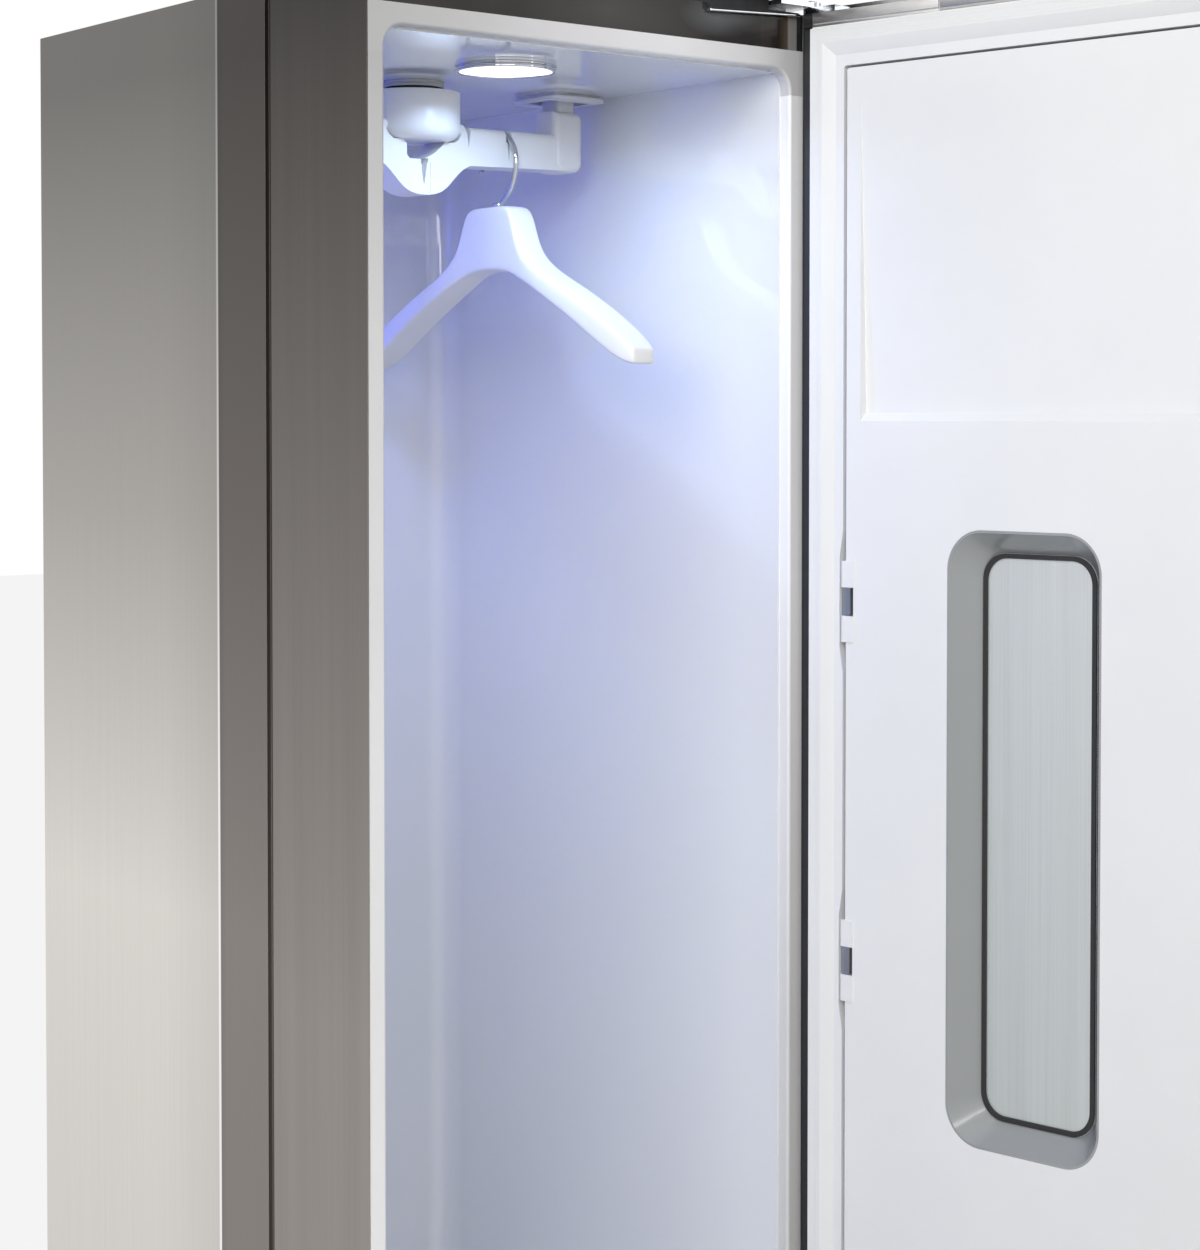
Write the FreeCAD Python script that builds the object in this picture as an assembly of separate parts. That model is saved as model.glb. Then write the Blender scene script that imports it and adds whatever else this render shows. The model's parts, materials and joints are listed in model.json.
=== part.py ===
"""A clothes care steam cabinet: a tall steel cabinet with a white tub, a hanger bar that is
rocked from the ceiling, a thick door with a fold-out press panel, and water tanks below.

Millimetres, +Z up. The origin is on the floor under the middle of the cabinet, and the
front faces -Y. The door is built closed and then swung to its resting angle.
"""
import FreeCAD
import Part
import math
import os

# Cabinet
WIDTH = 445.0
DEPTH = 530.0
BODY_TOP = 1828.0
SHEET = 1.2
FRONT_Y = -DEPTH / 2
BACK_Y = DEPTH / 2
HALF = WIDTH / 2
PLINTH_TOP = 40.0
CLADDING_DEPTH = 136.0
GROOVE_WIDTH = 8.0
GROOVE_DEPTH = 4.0

# Tub
BEZEL_WIDTH = 16.0
BEZEL_THICK = 12.0
BEZEL_RADIUS = 18.0
BEZEL_TOP = 1797.0
BEZEL_CORNER_DROP = 22.0
OPENING_HALF = HALF - BEZEL_WIDTH
OPENING_TOP = BEZEL_TOP - BEZEL_WIDTH
TUB_WALL = 3.0
TUB_HALF = 205.0
TUB_BACK_Y = 235.0
TUB_CORNER = 25.0
CEILING = 1779.0
TUB_FLOOR = 480.0
SILL_HEIGHT = 26.0

# Ceiling lamp
LAMP_Y = FRONT_Y + 125.5
LAMP_RING_R = 42.5
LAMP_LENS_R = 39.5
LAMP_DROP = 5.0

# Rocking hanger bar
BAR_Y = FRONT_Y + 260.0
BAR_THICK = 32.0
BAR_TOP = 1742.5
BAR_BOTTOM = 1708.3
BAR_END_BOTTOM = 1710.6
BAR_DIP_BOTTOM = 1680.3
DIP_HALF = 52.0
CUP_SEAT_Z = 1711.0
POCKET_HALF = 18.5
COLUMN_X = 160.0
COLUMN_WIDTH = 33.0
COLUMN_DEPTH = 35.0
COLUMN_TOP = 1764.0
COLUMN_BOTTOM = 1709.0
NECK_WIDTH = 21.0
NECK_DEPTH = 24.0
NOTCH_X = 92.0
CREST_X = 47.6
GROOVE_IN_BAR = 9.0
BAR_STROKE = 12.0
CUP_R = 40.5
CUP_TOP = 1770.0
CUP_BOTTOM = 1727.4
CUP_STRAIGHT_Z = 1740.9

# Bar drive above the ceiling
CRANK_PIN_R = 4.0
CRANK_SHAFT_R = 8.0
YOKE_SLACK = 3.0
PULLEY_R = 38.0
MOTOR_PULLEY_R = 14.0
MOTOR_X = 78.0
PULLEY_Z = 1797.0
PULLEY_THICK = 9.0
BELT_THICK = 1.6
BELT_GAP = 0.3
ROD_R = 4.0
ROD_Z = 1800.0
RUN_GAP = 0.05

# Door, closed
DOOR_INNER_Y = FRONT_Y - 7.0
DOOR_THICK = 55.0
DOOR_BOTTOM = 35.0
DOOR_TOP = 1826.0
DOOR_OUTER_Y = DOOR_INNER_Y - DOOR_THICK
DOOR_REST_DEG = 98.0
HINGE_X = 218.5
HINGE_Y = -279.5
HINGE_PIN_R = 4.0
KNUCKLE_R = 7.5
LEAF_THICK = 5.0
LEAF_LENGTH = 118.0
BRACKET_THICK = 4.0

# Press panel in the door, s is the distance from the door's hinge edge
PANEL_S0 = 47.4
PANEL_S1 = 400.0
PANEL_TOP = 1776.7
PANEL_BOTTOM = 765.0
PANEL_THICK = 30.0
PANEL_RADIUS = 14.0
PANEL_TOP_RADIUS = 2.5
PANEL_GAP = 6.5
PANEL_HINGE_GAP = 3.4
PANEL_TOP_GAP = 2.2
PANEL_AXIS_S = 44.9
PANEL_WALL = 3.0
CLIP_Z = (1332.0, 1030.0)
CLIP_BLOCK = 22.0
CLIP_SLOT = 24.0
WINDOW_S0 = 150.0
WINDOW_S1 = 295.0
WINDOW_TOP = 1396.0
WINDOW_BOTTOM = 897.0
WINDOW_RADIUS = 33.0
WINDOW_DEPTH = 25.0
WINDOW_SLOPE = 17.0

# Tanks and machine room
TANK_WIDTH = 186.0
TANK_DEPTH = 170.0
TANK_HEIGHT = 210.0
TANK_Z = 62.0
TANK_WALL = 3.0
TANK_X = 99.0
BAY_GAP = 2.0


def vec(x, y, z):
    """A point or direction."""
    return FreeCAD.Vector(x, y, z)


UP = vec(0, 0, 1)
ALONG_X = vec(1, 0, 0)
ALONG_Y = vec(0, 1, 0)


def box(x0, x1, y0, y1, z0, z1):
    """A block between two corners."""
    return Part.makeBox(x1 - x0, y1 - y0, z1 - z0, vec(x0, y0, z0))


def rod(r, length, x, y, z, axis=UP):
    """A round bar that starts at a point."""
    return Part.makeCylinder(r, length, vec(x, y, z), axis)


def tube(r_out, r_in, length, x, y, z, axis=UP):
    """A round bar with a through hole."""
    return rod(r_out, length, x, y, z, axis).cut(rod(r_in, length, x, y, z, axis))


def edges_along(shape, axis, keep=lambda point: True):
    """The straight edges that run along an axis, at the places that keep accepts."""
    found = []
    for edge in shape.Edges:
        if edge.Curve.TypeId != "Part::GeomLine":
            continue
        if abs(edge.tangentAt(edge.FirstParameter).dot(axis)) > 0.999 and keep(edge.CenterOfMass):
            found.append(edge)
    return found


def rounded(x0, x1, y0, y1, z0, z1, r, axis=UP):
    """A block whose edges along one axis are rounded."""
    block = box(x0, x1, y0, y1, z0, z1)
    return block.makeFillet(r, edges_along(block, axis))


def panel_block(x0, x1, y0, y1, z0, z1, grow=0.0):
    """A block with the press panel's corners: nearly square above, round below."""
    block = box(x0, x1, y0, y1, z0, z1)
    middle = (z0 + z1) / 2
    block = block.makeFillet(PANEL_RADIUS + grow, edges_along(block, ALONG_Y, lambda p: p.z < middle))
    return block.makeFillet(max(1.0, PANEL_TOP_RADIUS + grow),
                            edges_along(block, ALONG_Y, lambda p: p.z > middle))


def plate(points, y0, y1):
    """A plate cut to an outline of (x, z) points, from one depth to another."""
    wire = Part.makePolygon([vec(x, y0, z) for x, z in points + points[:1]])
    return Part.Face(wire).extrude(vec(0, y1 - y0, 0))


def fuse(first, *others):
    """Pieces joined into one."""
    return first.multiFuse(list(others)).removeSplitter()


def cut(first, *others):
    """A piece with other shapes taken out of it."""
    return first.cut(Part.makeCompound(list(others)))


def group(*pieces):
    """Separate pieces in one file."""
    return Part.makeCompound(list(pieces))


def to_left(piece):
    """The mirror image of a piece on the +X side."""
    return piece.mirror(vec(0, 0, 0), ALONG_X)


def save(name, shape):
    """Writes one sub-part's file."""
    shape.exportStep("parts/" + name + ".step")


# ---- Cabinet shell ----

def base_frame():
    """A pressed ring that stands on the floor, with the machine room's floor plate on it."""
    edge = HALF - SHEET
    ring = cut(box(-edge, edge, FRONT_Y + 3, BACK_Y - 2, 0, PLINTH_TOP),
               box(-HALF + 20, HALF - 20, FRONT_Y + 21, BACK_Y - 20, -1, PLINTH_TOP + 1))
    floor_plate = box(-edge, edge, FRONT_Y + 3, BACK_Y - 2, PLINTH_TOP, PLINTH_TOP + 3)
    foot_holes = [rod(5.2, PLINTH_TOP + 5, x * (HALF - 11), y, -1)
                  for x in (-1, 1) for y in (FRONT_Y + 12, BACK_Y - 11)]
    return cut(ring.fuse(floor_plate).removeSplitter(), *foot_holes)


def levelling_feet():
    """Four threaded studs screwed right in, with their glides level with the base."""
    feet = []
    for x in (-HALF + 11, HALF - 11):
        for y in (FRONT_Y + 12, BACK_Y - 11):
            feet.append(rod(5.0, PLINTH_TOP, x, y, 0))
    return group(*feet)


def front_cladding():
    """The right-hand dark cladding: a side sheet with a folded front edge."""
    side = box(HALF - SHEET, HALF, FRONT_Y, FRONT_Y + CLADDING_DEPTH, PLINTH_TOP, BODY_TOP)
    fold = box(HALF - GROOVE_DEPTH - SHEET, HALF, FRONT_Y + CLADDING_DEPTH - SHEET,
               FRONT_Y + CLADDING_DEPTH, PLINTH_TOP + 3, BODY_TOP - SHEET)
    return fuse(side, fold)


def side_panel():
    """The right-hand side panel: a sheet whose front edge steps in to make the groove."""
    y0 = FRONT_Y + CLADDING_DEPTH
    y1 = y0 + GROOVE_WIDTH
    side = box(HALF - SHEET, HALF, y1, BACK_Y, PLINTH_TOP, BODY_TOP)
    step = box(HALF - GROOVE_DEPTH - SHEET, HALF, y1, y1 + SHEET, PLINTH_TOP + 3, BODY_TOP - SHEET)
    groove_floor = box(HALF - GROOVE_DEPTH - SHEET, HALF - GROOVE_DEPTH, y0, y1 + SHEET,
                       PLINTH_TOP + 3, BODY_TOP - SHEET)
    return fuse(side, step, groove_floor)


def back_panel():
    """The rear sheet, with a vent grid low down and the hole for the power inlet."""
    edge = HALF - SHEET
    sheet = box(-edge, edge, BACK_Y - SHEET, BACK_Y, PLINTH_TOP + 3, BODY_TOP - SHEET)
    slots = []
    for row in range(8):
        for column in (-1, 0, 1):
            slots.append(box(column * 70 - 28, column * 70 + 28, BACK_Y - 5, BACK_Y + 5,
                             160 + row * 16, 166 + row * 16))
    inlet = box(-176, -144, BACK_Y - 5, BACK_Y + 5, 92, 116)
    return cut(sheet, inlet, *slots)


def top_panel():
    """The roof sheet behind the header."""
    return box(-HALF + SHEET, HALF - SHEET, FRONT_Y + 14, BACK_Y, BODY_TOP - SHEET, BODY_TOP)


def header_panel():
    """The dark cross piece above the opening."""
    face = box(-HALF + SHEET, HALF - SHEET, FRONT_Y, FRONT_Y + 14, BEZEL_TOP, BODY_TOP)
    hollow = box(-HALF + 4, HALF - 4, FRONT_Y + 3, FRONT_Y + 15, BEZEL_TOP + 3, BODY_TOP - 2)
    return cut(face, hollow)


def bezel_ring(z0, z1):
    """The part of the opening's frame between two heights, with round inner corners."""
    outer = box(-HALF + SHEET, HALF - SHEET, FRONT_Y, FRONT_Y + BEZEL_THICK,
                PLINTH_TOP + 3, BEZEL_TOP)
    inner = rounded(-OPENING_HALF, OPENING_HALF, FRONT_Y - 1, FRONT_Y + BEZEL_THICK + 1,
                    TUB_FLOOR, OPENING_TOP, BEZEL_RADIUS, ALONG_Y)
    room = box(-OPENING_HALF - 0.5, OPENING_HALF + 0.5, FRONT_Y - 1, FRONT_Y + BEZEL_THICK + 1,
               TANK_Z - 8.5, TUB_FLOOR - SILL_HEIGHT)
    frame = cut(outer, inner, room)
    front = [e for e in frame.Edges
             if abs(e.CenterOfMass.y - FRONT_Y) < 0.01 and abs(e.CenterOfMass.x) < OPENING_HALF + 1
             and TUB_FLOOR - 1 < e.CenterOfMass.z < OPENING_TOP + 1]
    frame = frame.makeFillet(2.5, front)
    return frame.common(box(-HALF, HALF, FRONT_Y - 1, FRONT_Y + BEZEL_THICK + 1, z0, z1))


def cavity_liner():
    """The white tub: a deep box open at the front, with round rear corners and service holes."""
    y0 = FRONT_Y + BEZEL_THICK
    inner = box(-TUB_HALF, TUB_HALF, y0 - 1, TUB_BACK_Y, TUB_FLOOR, CEILING)
    rear = edges_along(inner, UP, lambda p: p.y > 0)
    inner = inner.makeFillet(TUB_CORNER, rear)
    outer = box(-TUB_HALF - TUB_WALL, TUB_HALF + TUB_WALL, y0, TUB_BACK_Y + TUB_WALL,
                TUB_FLOOR - TUB_WALL, CEILING + TUB_WALL)
    outer = outer.makeFillet(TUB_CORNER + TUB_WALL, edges_along(outer, UP, lambda p: p.y > 0))
    holes = [
        rod(LAMP_LENS_R + 0.5, 20, 0, LAMP_Y, CEILING - 5),
        rod(20.0, 20, 0, BAR_Y, CEILING - 5),
        box(-150, 150, TUB_BACK_Y - 75, TUB_BACK_Y - 25, TUB_FLOOR - 10, TUB_FLOOR + 5),
        box(-125, 125, y0 + 18, y0 + 54, TUB_FLOOR - 10, TUB_FLOOR + 5),
    ]
    for x in (-COLUMN_X, COLUMN_X):
        holes.append(box(x - 23, x + 23, BAR_Y - 18, BAR_Y + 18, CEILING - 5, CEILING + 10))
    return cut(outer, inner, *holes)


def insulation_jacket():
    """Foam sheets between the tub and the sides."""
    side = box(TUB_HALF + TUB_WALL + 0.5, HALF - GROOVE_DEPTH - SHEET - 0.5,
               FRONT_Y + BEZEL_THICK + 2, TUB_BACK_Y, TUB_FLOOR, CEILING)
    back = box(-TUB_HALF + TUB_CORNER, TUB_HALF - TUB_CORNER, TUB_BACK_Y + TUB_WALL + 0.5,
               BACK_Y - SHEET - 1, TUB_FLOOR, CEILING)
    return group(side, to_left(side), back)


# ---- Ceiling: lamp, escutcheons and bar drive ----

def lamp_ring():
    """The chrome ring of the ceiling lamp."""
    rim = tube(LAMP_RING_R, LAMP_LENS_R, LAMP_DROP, 0, LAMP_Y, CEILING - LAMP_DROP)
    low = [e for e in rim.Edges if abs(e.CenterOfMass.z - (CEILING - LAMP_DROP)) < 0.01]
    return rim.makeFillet(1.2, low)


def lamp_lens():
    """The lens: a shallow disc in the ring, with its board's housing above."""
    lens = rod(LAMP_LENS_R, 4, 0, LAMP_Y, CEILING - 4)
    housing = rod(LAMP_LENS_R - 4, 16, 0, LAMP_Y, CEILING)
    return fuse(lens, housing)


def ceiling_escutcheons():
    """The rims round the two neck holes, and the collar round the crank's hole."""
    rims = []
    for x in (-COLUMN_X, COLUMN_X):
        rim = rounded(x - 30, x + 30, BAR_Y - 35, BAR_Y + 35, CEILING - 6.4, CEILING - 3.4, 9)
        rise = rounded(x - 26.5, x + 26.5, BAR_Y - 31, BAR_Y + 31, CEILING - 4.8, CEILING, 4)
        hole = box(x - 23, x + 23, BAR_Y - 18, BAR_Y + 18, CEILING - 8, CEILING + 1)
        rims.append(fuse(rim, rise).cut(hole))
    rims.append(tube(19.5, 17.0, 8, 0, BAR_Y, CEILING - 2.5))
    return group(*rims)


def drive_plate():
    """The steel plate above the tub with the crank's bearing, rod ears and guide rods."""
    z0 = CEILING + TUB_WALL + 3
    plate_body = box(-190, 190, BAR_Y - 42, BAR_Y + 42, z0, z0 + 2.5)
    openings = [rod(16, 8, 0, BAR_Y, z0 - 2)]
    for x in (-COLUMN_X, COLUMN_X):
        openings.append(box(x - 25, x + 25, BAR_Y - 18, BAR_Y + 18, z0 - 2, z0 + 5))
    plate_body = cut(plate_body, *openings)
    bearing = tube(13, CRANK_SHAFT_R + RUN_GAP, 6, 0, BAR_Y, z0 + 2.5)
    bridge = box(-20, 20, BAR_Y - 5, BAR_Y + 5, z0 + 2.5, z0 + 8.5)
    bridge = bridge.cut(rod(12, 12, 0, BAR_Y, z0))
    plate_body = fuse(plate_body, bearing, bridge)
    ears = []
    rods = []
    for x in (-COLUMN_X, COLUMN_X):
        for end in (-1, 1):
            ear = box(x + end * 34 - 2.5, x + end * 34 + 2.5, BAR_Y - 8, BAR_Y + 8, z0 + 2.5, ROD_Z + 8)
            ears.append(ear.cut(rod(ROD_R, 10, x + end * 34 - 5, BAR_Y, ROD_Z, ALONG_X)))
        rods.append(rod(ROD_R, 73, x - 36.5, BAR_Y, ROD_Z, ALONG_X))
    feet = [box(x - 5, x + 5, y - 5, y + 5, CEILING + TUB_WALL, z0)
            for x in (-182, -100, 100, 182) for y in (BAR_Y - 34, BAR_Y + 34)]
    return group(fuse(plate_body, *ears, *feet), *rods, drive_motor())


def drive_motor():
    """The flat gear motor behind the crank, with its shaft."""
    y = BAR_Y
    can = rod(13.5, 5.5, MOTOR_X, y, CEILING + TUB_WALL + 5.5)
    shaft = rod(3.0, 22, MOTOR_X, y, CEILING + TUB_WALL + 11)
    return fuse(can, shaft)


def drive_belt():
    """The belt: a band round both pulleys."""
    big = PULLEY_R + BELT_GAP
    small = MOTOR_PULLEY_R + BELT_GAP
    inner = belt_outline(big, small)
    outer = belt_outline(big + BELT_THICK, small + BELT_THICK)
    return outer.cut(inner)


def belt_outline(r_big, r_small):
    """A solid as high as the belt, with the outline of a band round two wheels."""
    lean = math.asin((r_big - r_small) / MOTOR_X)
    z = PULLEY_Z + 1
    height = PULLEY_THICK - 2
    s, c = math.sin(lean), math.cos(lean)
    corners = [(r_big * s, r_big * c), (MOTOR_X + r_small * s, r_small * c),
               (MOTOR_X + r_small * s, -r_small * c), (r_big * s, -r_big * c)]
    points = [vec(x, BAR_Y + y, z) for x, y in corners]
    middle = Part.Face(Part.makePolygon(points + points[:1])).extrude(vec(0, 0, height))
    return fuse(middle, rod(r_big, height, 0, BAR_Y, z), rod(r_small, height, MOTOR_X, BAR_Y, z))


def crank_wheel():
    """The driven pulley, its shaft down through the collar, and the eccentric pin."""
    wheel = rod(PULLEY_R, PULLEY_THICK, 0, BAR_Y, PULLEY_Z)
    shaft = rod(CRANK_SHAFT_R, PULLEY_Z - CEILING - 1, 0, BAR_Y, CEILING + 1)
    disc = rod(16.5, 4, 0, BAR_Y, CEILING - 2)
    pin = rod(CRANK_PIN_R, 16, 0, BAR_Y - BAR_STROKE, CEILING - 18)
    return fuse(wheel, shaft, disc, pin)


def motor_pulley():
    """The small pulley on the motor's shaft."""
    wheel = rod(MOTOR_PULLEY_R, PULLEY_THICK, MOTOR_X, BAR_Y, PULLEY_Z)
    return wheel.cut(rod(3.0 + RUN_GAP, 30, MOTOR_X, BAR_Y, PULLEY_Z - 5))


# ---- Hanger bar and garment hanger ----

HOOK_R = 26.0
HOOK_WIRE_R = 2.4
HOOK_GAP = 0.6
HOOK_Z = BAR_TOP - 4.2 + HOOK_WIRE_R - HOOK_R
HANGER_TOP = 1674.5
HANGER_ARCH_TOP = 1617.0
HANGER_THICK = 34.0


def curve_through(points):
    """A smooth edge through points, level at both ends."""
    line = Part.BSplineCurve()
    level = points[-1].sub(points[0]).normalize()
    line.interpolate(Points=points, InitialTangent=level, FinalTangent=level, Scale=False)
    return line.toShape()


def bar_beam():
    """The beam between the columns: flat on top, with the cup's seat, a pocket and a smooth dip."""
    y = BAR_Y - BAR_THICK / 2
    fall = [(46.5, 1707.0), (41, 1703.9), (31, 1694.8), (20, 1685.0)]
    low = [(-DIP_HALF, BAR_BOTTOM)] + [(-x, z) for x, z in fall] + [(0, BAR_DIP_BOTTOM)]
    low = low + fall[::-1] + [(DIP_HALF, BAR_BOTTOM)]
    dip = curve_through([vec(x, y, z) for x, z in low])
    seat = [(COLUMN_X, BAR_END_BOTTOM), (COLUMN_X, BAR_TOP), (43, BAR_TOP), (40, 1735.0),
            (37, 1730.4), (32.5, CUP_BOTTOM), (22, CUP_BOTTOM), (POCKET_HALF, 1723.5)]
    ramp = [(12, 1718.0), (5, 1713.8), (-3, CUP_SEAT_Z)]
    wall = [(3 - POCKET_HALF, CUP_SEAT_Z), (-POCKET_HALF, CUP_SEAT_Z + 3)]
    right = [(DIP_HALF, BAR_BOTTOM)] + seat + ramp + wall
    left = [(-x, z) for x, z in reversed(seat)] + [(-DIP_HALF, BAR_BOTTOM)]
    outline = [vec(x, y, z) for x, z in right + left]
    lines = [Part.LineSegment(a, b).toShape() for a, b in zip(outline, outline[1:])]
    beam = Part.Face(Part.Wire(Part.__sortEdges__([dip] + lines))).extrude(vec(0, BAR_THICK, 0))
    top = edges_along(beam, ALONG_X, lambda p: p.z > BAR_TOP - 1)
    return beam.makeFillet(6, top)


def crest():
    """The rounded crest where the cup's seat meets the top of the beam."""
    hump = rod(5.2, BAR_THICK - 2, CREST_X - 6.4, BAR_Y - BAR_THICK / 2 + 1, BAR_TOP - 3.2, ALONG_Y)
    return hump.makeFillet(3, hump.Edges[0:1] + hump.Edges[2:3])


def column():
    """One end column with its neck up through the ceiling."""
    x = COLUMN_X
    post = box(x - COLUMN_WIDTH / 2, x + COLUMN_WIDTH / 2, BAR_Y - COLUMN_DEPTH / 2,
               BAR_Y + COLUMN_DEPTH / 2, COLUMN_BOTTOM, COLUMN_TOP)
    post = post.makeFillet(9, edges_along(post, ALONG_Y, lambda p: p.z < 1720))
    post = post.makeFillet(8, edges_along(post, ALONG_Y, lambda p: p.z > 1720 and p.x > x))
    post = post.makeFillet(7, edges_along(post, UP))
    neck = box(x - NECK_WIDTH / 2, x + NECK_WIDTH / 2, BAR_Y - NECK_DEPTH / 2,
               BAR_Y + NECK_DEPTH / 2, COLUMN_TOP - 1, ROD_Z - 12)
    neck = neck.makeFillet(3, edges_along(neck, UP))
    return fuse(post, neck)


def hook_saddle(x):
    """The notch that a hanger's hook turns in."""
    slot = box(x - 3.2, x + 3.2, BAR_Y - 30, BAR_Y + 30, HOOK_Z, BAR_TOP + 5)
    return slot.cut(rod(HOOK_R - HOOK_WIRE_R - HOOK_GAP, 8, x - 4, BAR_Y, HOOK_Z, ALONG_X))


def front_groove(x, z, length, half_width):
    """A groove in the beam's front face that narrows downwards to a point."""
    y = BAR_Y - BAR_THICK / 2
    outline = [(x - half_width, z + 1), (x + half_width, z + 1), (x, z - length)]
    return plate(outline, y - 2, y + GROOVE_IN_BAR)


def hanger_bar():
    """The white bar: beam, end columns and necks in one moulding."""
    bar = fuse(bar_beam(), crest(), to_left(crest()), column(), to_left(column()))
    notches = [hook_saddle(x) for x in (-NOTCH_X, NOTCH_X)]
    face = BAR_Y - BAR_THICK / 2
    grooves = [front_groove(0, CUP_SEAT_Z, 23, 4.2),
               box(-6.5, 6.5, face - 2, face + 0.8, CUP_SEAT_Z - 30, CUP_SEAT_Z - 2)]
    for side in (-1, 1):
        grooves.append(front_groove(side * NOTCH_X, BAR_TOP, 30, 2.8))
        grooves.append(front_groove(side * CREST_X, BAR_TOP, 18, 2.9))
    return cut(bar, cup_body(), *grooves, *notches)


def cup_body():
    """The outside of the drive cup: straight above, rounded below."""
    cup = rod(CUP_R, CUP_TOP - CUP_BOTTOM, 0, BAR_Y, CUP_BOTTOM)
    low = [e for e in cup.Edges if abs(e.CenterOfMass.z - CUP_BOTTOM) < 0.01]
    return cup.makeFillet(CUP_STRAIGHT_Z - CUP_BOTTOM - 1, low)


def drive_cup():
    """The cup on the bar, with the slot that the crank's pin runs in."""
    half = CRANK_PIN_R + YOKE_SLACK
    reach = BAR_STROKE + CRANK_PIN_R + 2
    slot = box(-half, half, BAR_Y - reach, BAR_Y + reach, CEILING - 20, CUP_TOP + 1)
    return cup_body().cut(slot).cut(bar_beam())


def slide_bushes():
    """The blocks on the necks that run on the guide rods."""
    blocks = []
    for x in (-COLUMN_X, COLUMN_X):
        block = box(x - 12, x + 12, BAR_Y - 11, BAR_Y + 11, ROD_Z - 12, ROD_Z + 10)
        blocks.append(block.cut(rod(ROD_R + RUN_GAP, 40, x - 20, BAR_Y, ROD_Z, ALONG_X)))
    return group(*blocks)


def garment_hanger():
    """A broad white hanger that hangs across the bar."""
    x = NOTCH_X - HANGER_THICK / 2
    half = [(26, HANGER_TOP), (32, 1671), (36, 1663), (40, 1651), (46, 1637), (55, 1627), (68, 1618),
            (86, 1609), (118, 1595), (160, 1573), (195, 1551), (205, 1543), (206, 1536), (200, 1531),
            (190, 1532), (120, 1572), (76, 1595), (40, 1610)]
    points = [vec(x, BAR_Y + y, z) for y, z in half]
    points += [vec(x, BAR_Y, HANGER_ARCH_TOP)]
    points += [vec(x, BAR_Y - y, z) for y, z in reversed(half)]
    blank = Part.Face(Part.makePolygon(points + points[:1])).extrude(vec(HANGER_THICK, 0, 0))
    return blank.cut(rod(HOOK_WIRE_R, 40, NOTCH_X, BAR_Y, HANGER_TOP - 24))


def hanger_hook():
    """The wire hook: a stem, a wide bow in front of the bar and a round crook over it."""
    rise = HOOK_Z - HANGER_TOP - 1.5
    bow_r = (HOOK_R ** 2 + rise ** 2) / (2 * HOOK_R)
    lean = math.asin(rise / bow_r)

    def bow(turn):
        return vec(NOTCH_X, BAR_Y + bow_r - HOOK_R - bow_r * math.cos(turn), HOOK_Z - bow_r * math.sin(turn))

    def crook(degrees):
        turn = math.radians(degrees)
        return vec(NOTCH_X, BAR_Y - HOOK_R * math.sin(turn), HOOK_Z - HOOK_R * math.cos(turn))

    foot = bow(lean)
    low = Part.Arc(foot, bow(lean / 2), bow(0)).toShape()
    high = Part.Arc(crook(90), crook(190), crook(285)).toShape()
    profile = Part.Wire(Part.makeCircle(HOOK_WIRE_R, foot, vec(0, -math.sin(lean), math.cos(lean))))
    wire = Part.Wire([low, high]).makePipeShell([profile], True, True)
    stem = rod(HOOK_WIRE_R, foot.z - HANGER_TOP + 22, NOTCH_X, BAR_Y, HANGER_TOP - 22)
    return fuse(wire, stem, Part.makeSphere(HOOK_WIRE_R, foot))


# ---- Door ----

def at_s(s):
    """The X of a distance from the closed door's hinge edge."""
    return HALF - s


def swung(shape):
    """A door piece, turned from closed to its resting angle."""
    turned = shape.copy()
    turned.rotate(vec(HINGE_X, HINGE_Y, 0), UP, DOOR_REST_DEG)
    return turned


GRIP = (-HALF, -HALF + 14.0, -312.0, -286.0, 760.0, 1060.0)
LINER_STEP = 10.4
CAP_HEIGHT = 12.0
POCKET_DEPTH = PANEL_THICK + 3.0
POCKET_X0 = at_s(PANEL_S1 + PANEL_GAP)
POCKET_X1 = at_s(PANEL_S0 - PANEL_HINGE_GAP)
POCKET_Z0 = PANEL_BOTTOM - PANEL_GAP
POCKET_Z1 = PANEL_TOP + PANEL_TOP_GAP
PANEL_AXIS_X = at_s(PANEL_AXIS_S)
PANEL_AXIS_Y = DOOR_INNER_Y - 2.0
PANEL_PIN_R = 2.0
PANEL_KNUCKLE_R = 3.2
CLIP_SWELL = 3.5
CLIP_SWELL_HALF = 37.0
CLIP_SWELL_DEPTH = 12.0


def press_pocket(grow):
    """The space in the door that the press panel folds into."""
    pocket = panel_block(POCKET_X0 - grow, POCKET_X1 + grow, DOOR_INNER_Y - POCKET_DEPTH - grow,
                         DOOR_INNER_Y + 1, POCKET_Z0 - grow, POCKET_Z1 + grow, grow)
    swells = []
    for z in CLIP_Z:
        high = CLIP_SWELL_HALF + grow
        x0, x1 = POCKET_X1 - 4, POCKET_X1 + CLIP_SWELL + grow
        outline = [(x0, z - high - 22), (POCKET_X1 + grow, z - high - 22), (x1, z - high),
                   (x1, z + high), (POCKET_X1 + grow, z + high + 22), (x0, z + high + 22)]
        swells.append(plate(outline, DOOR_INNER_Y - CLIP_SWELL_DEPTH - grow, DOOR_INNER_Y + 1))
    return fuse(pocket, *swells)


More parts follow.
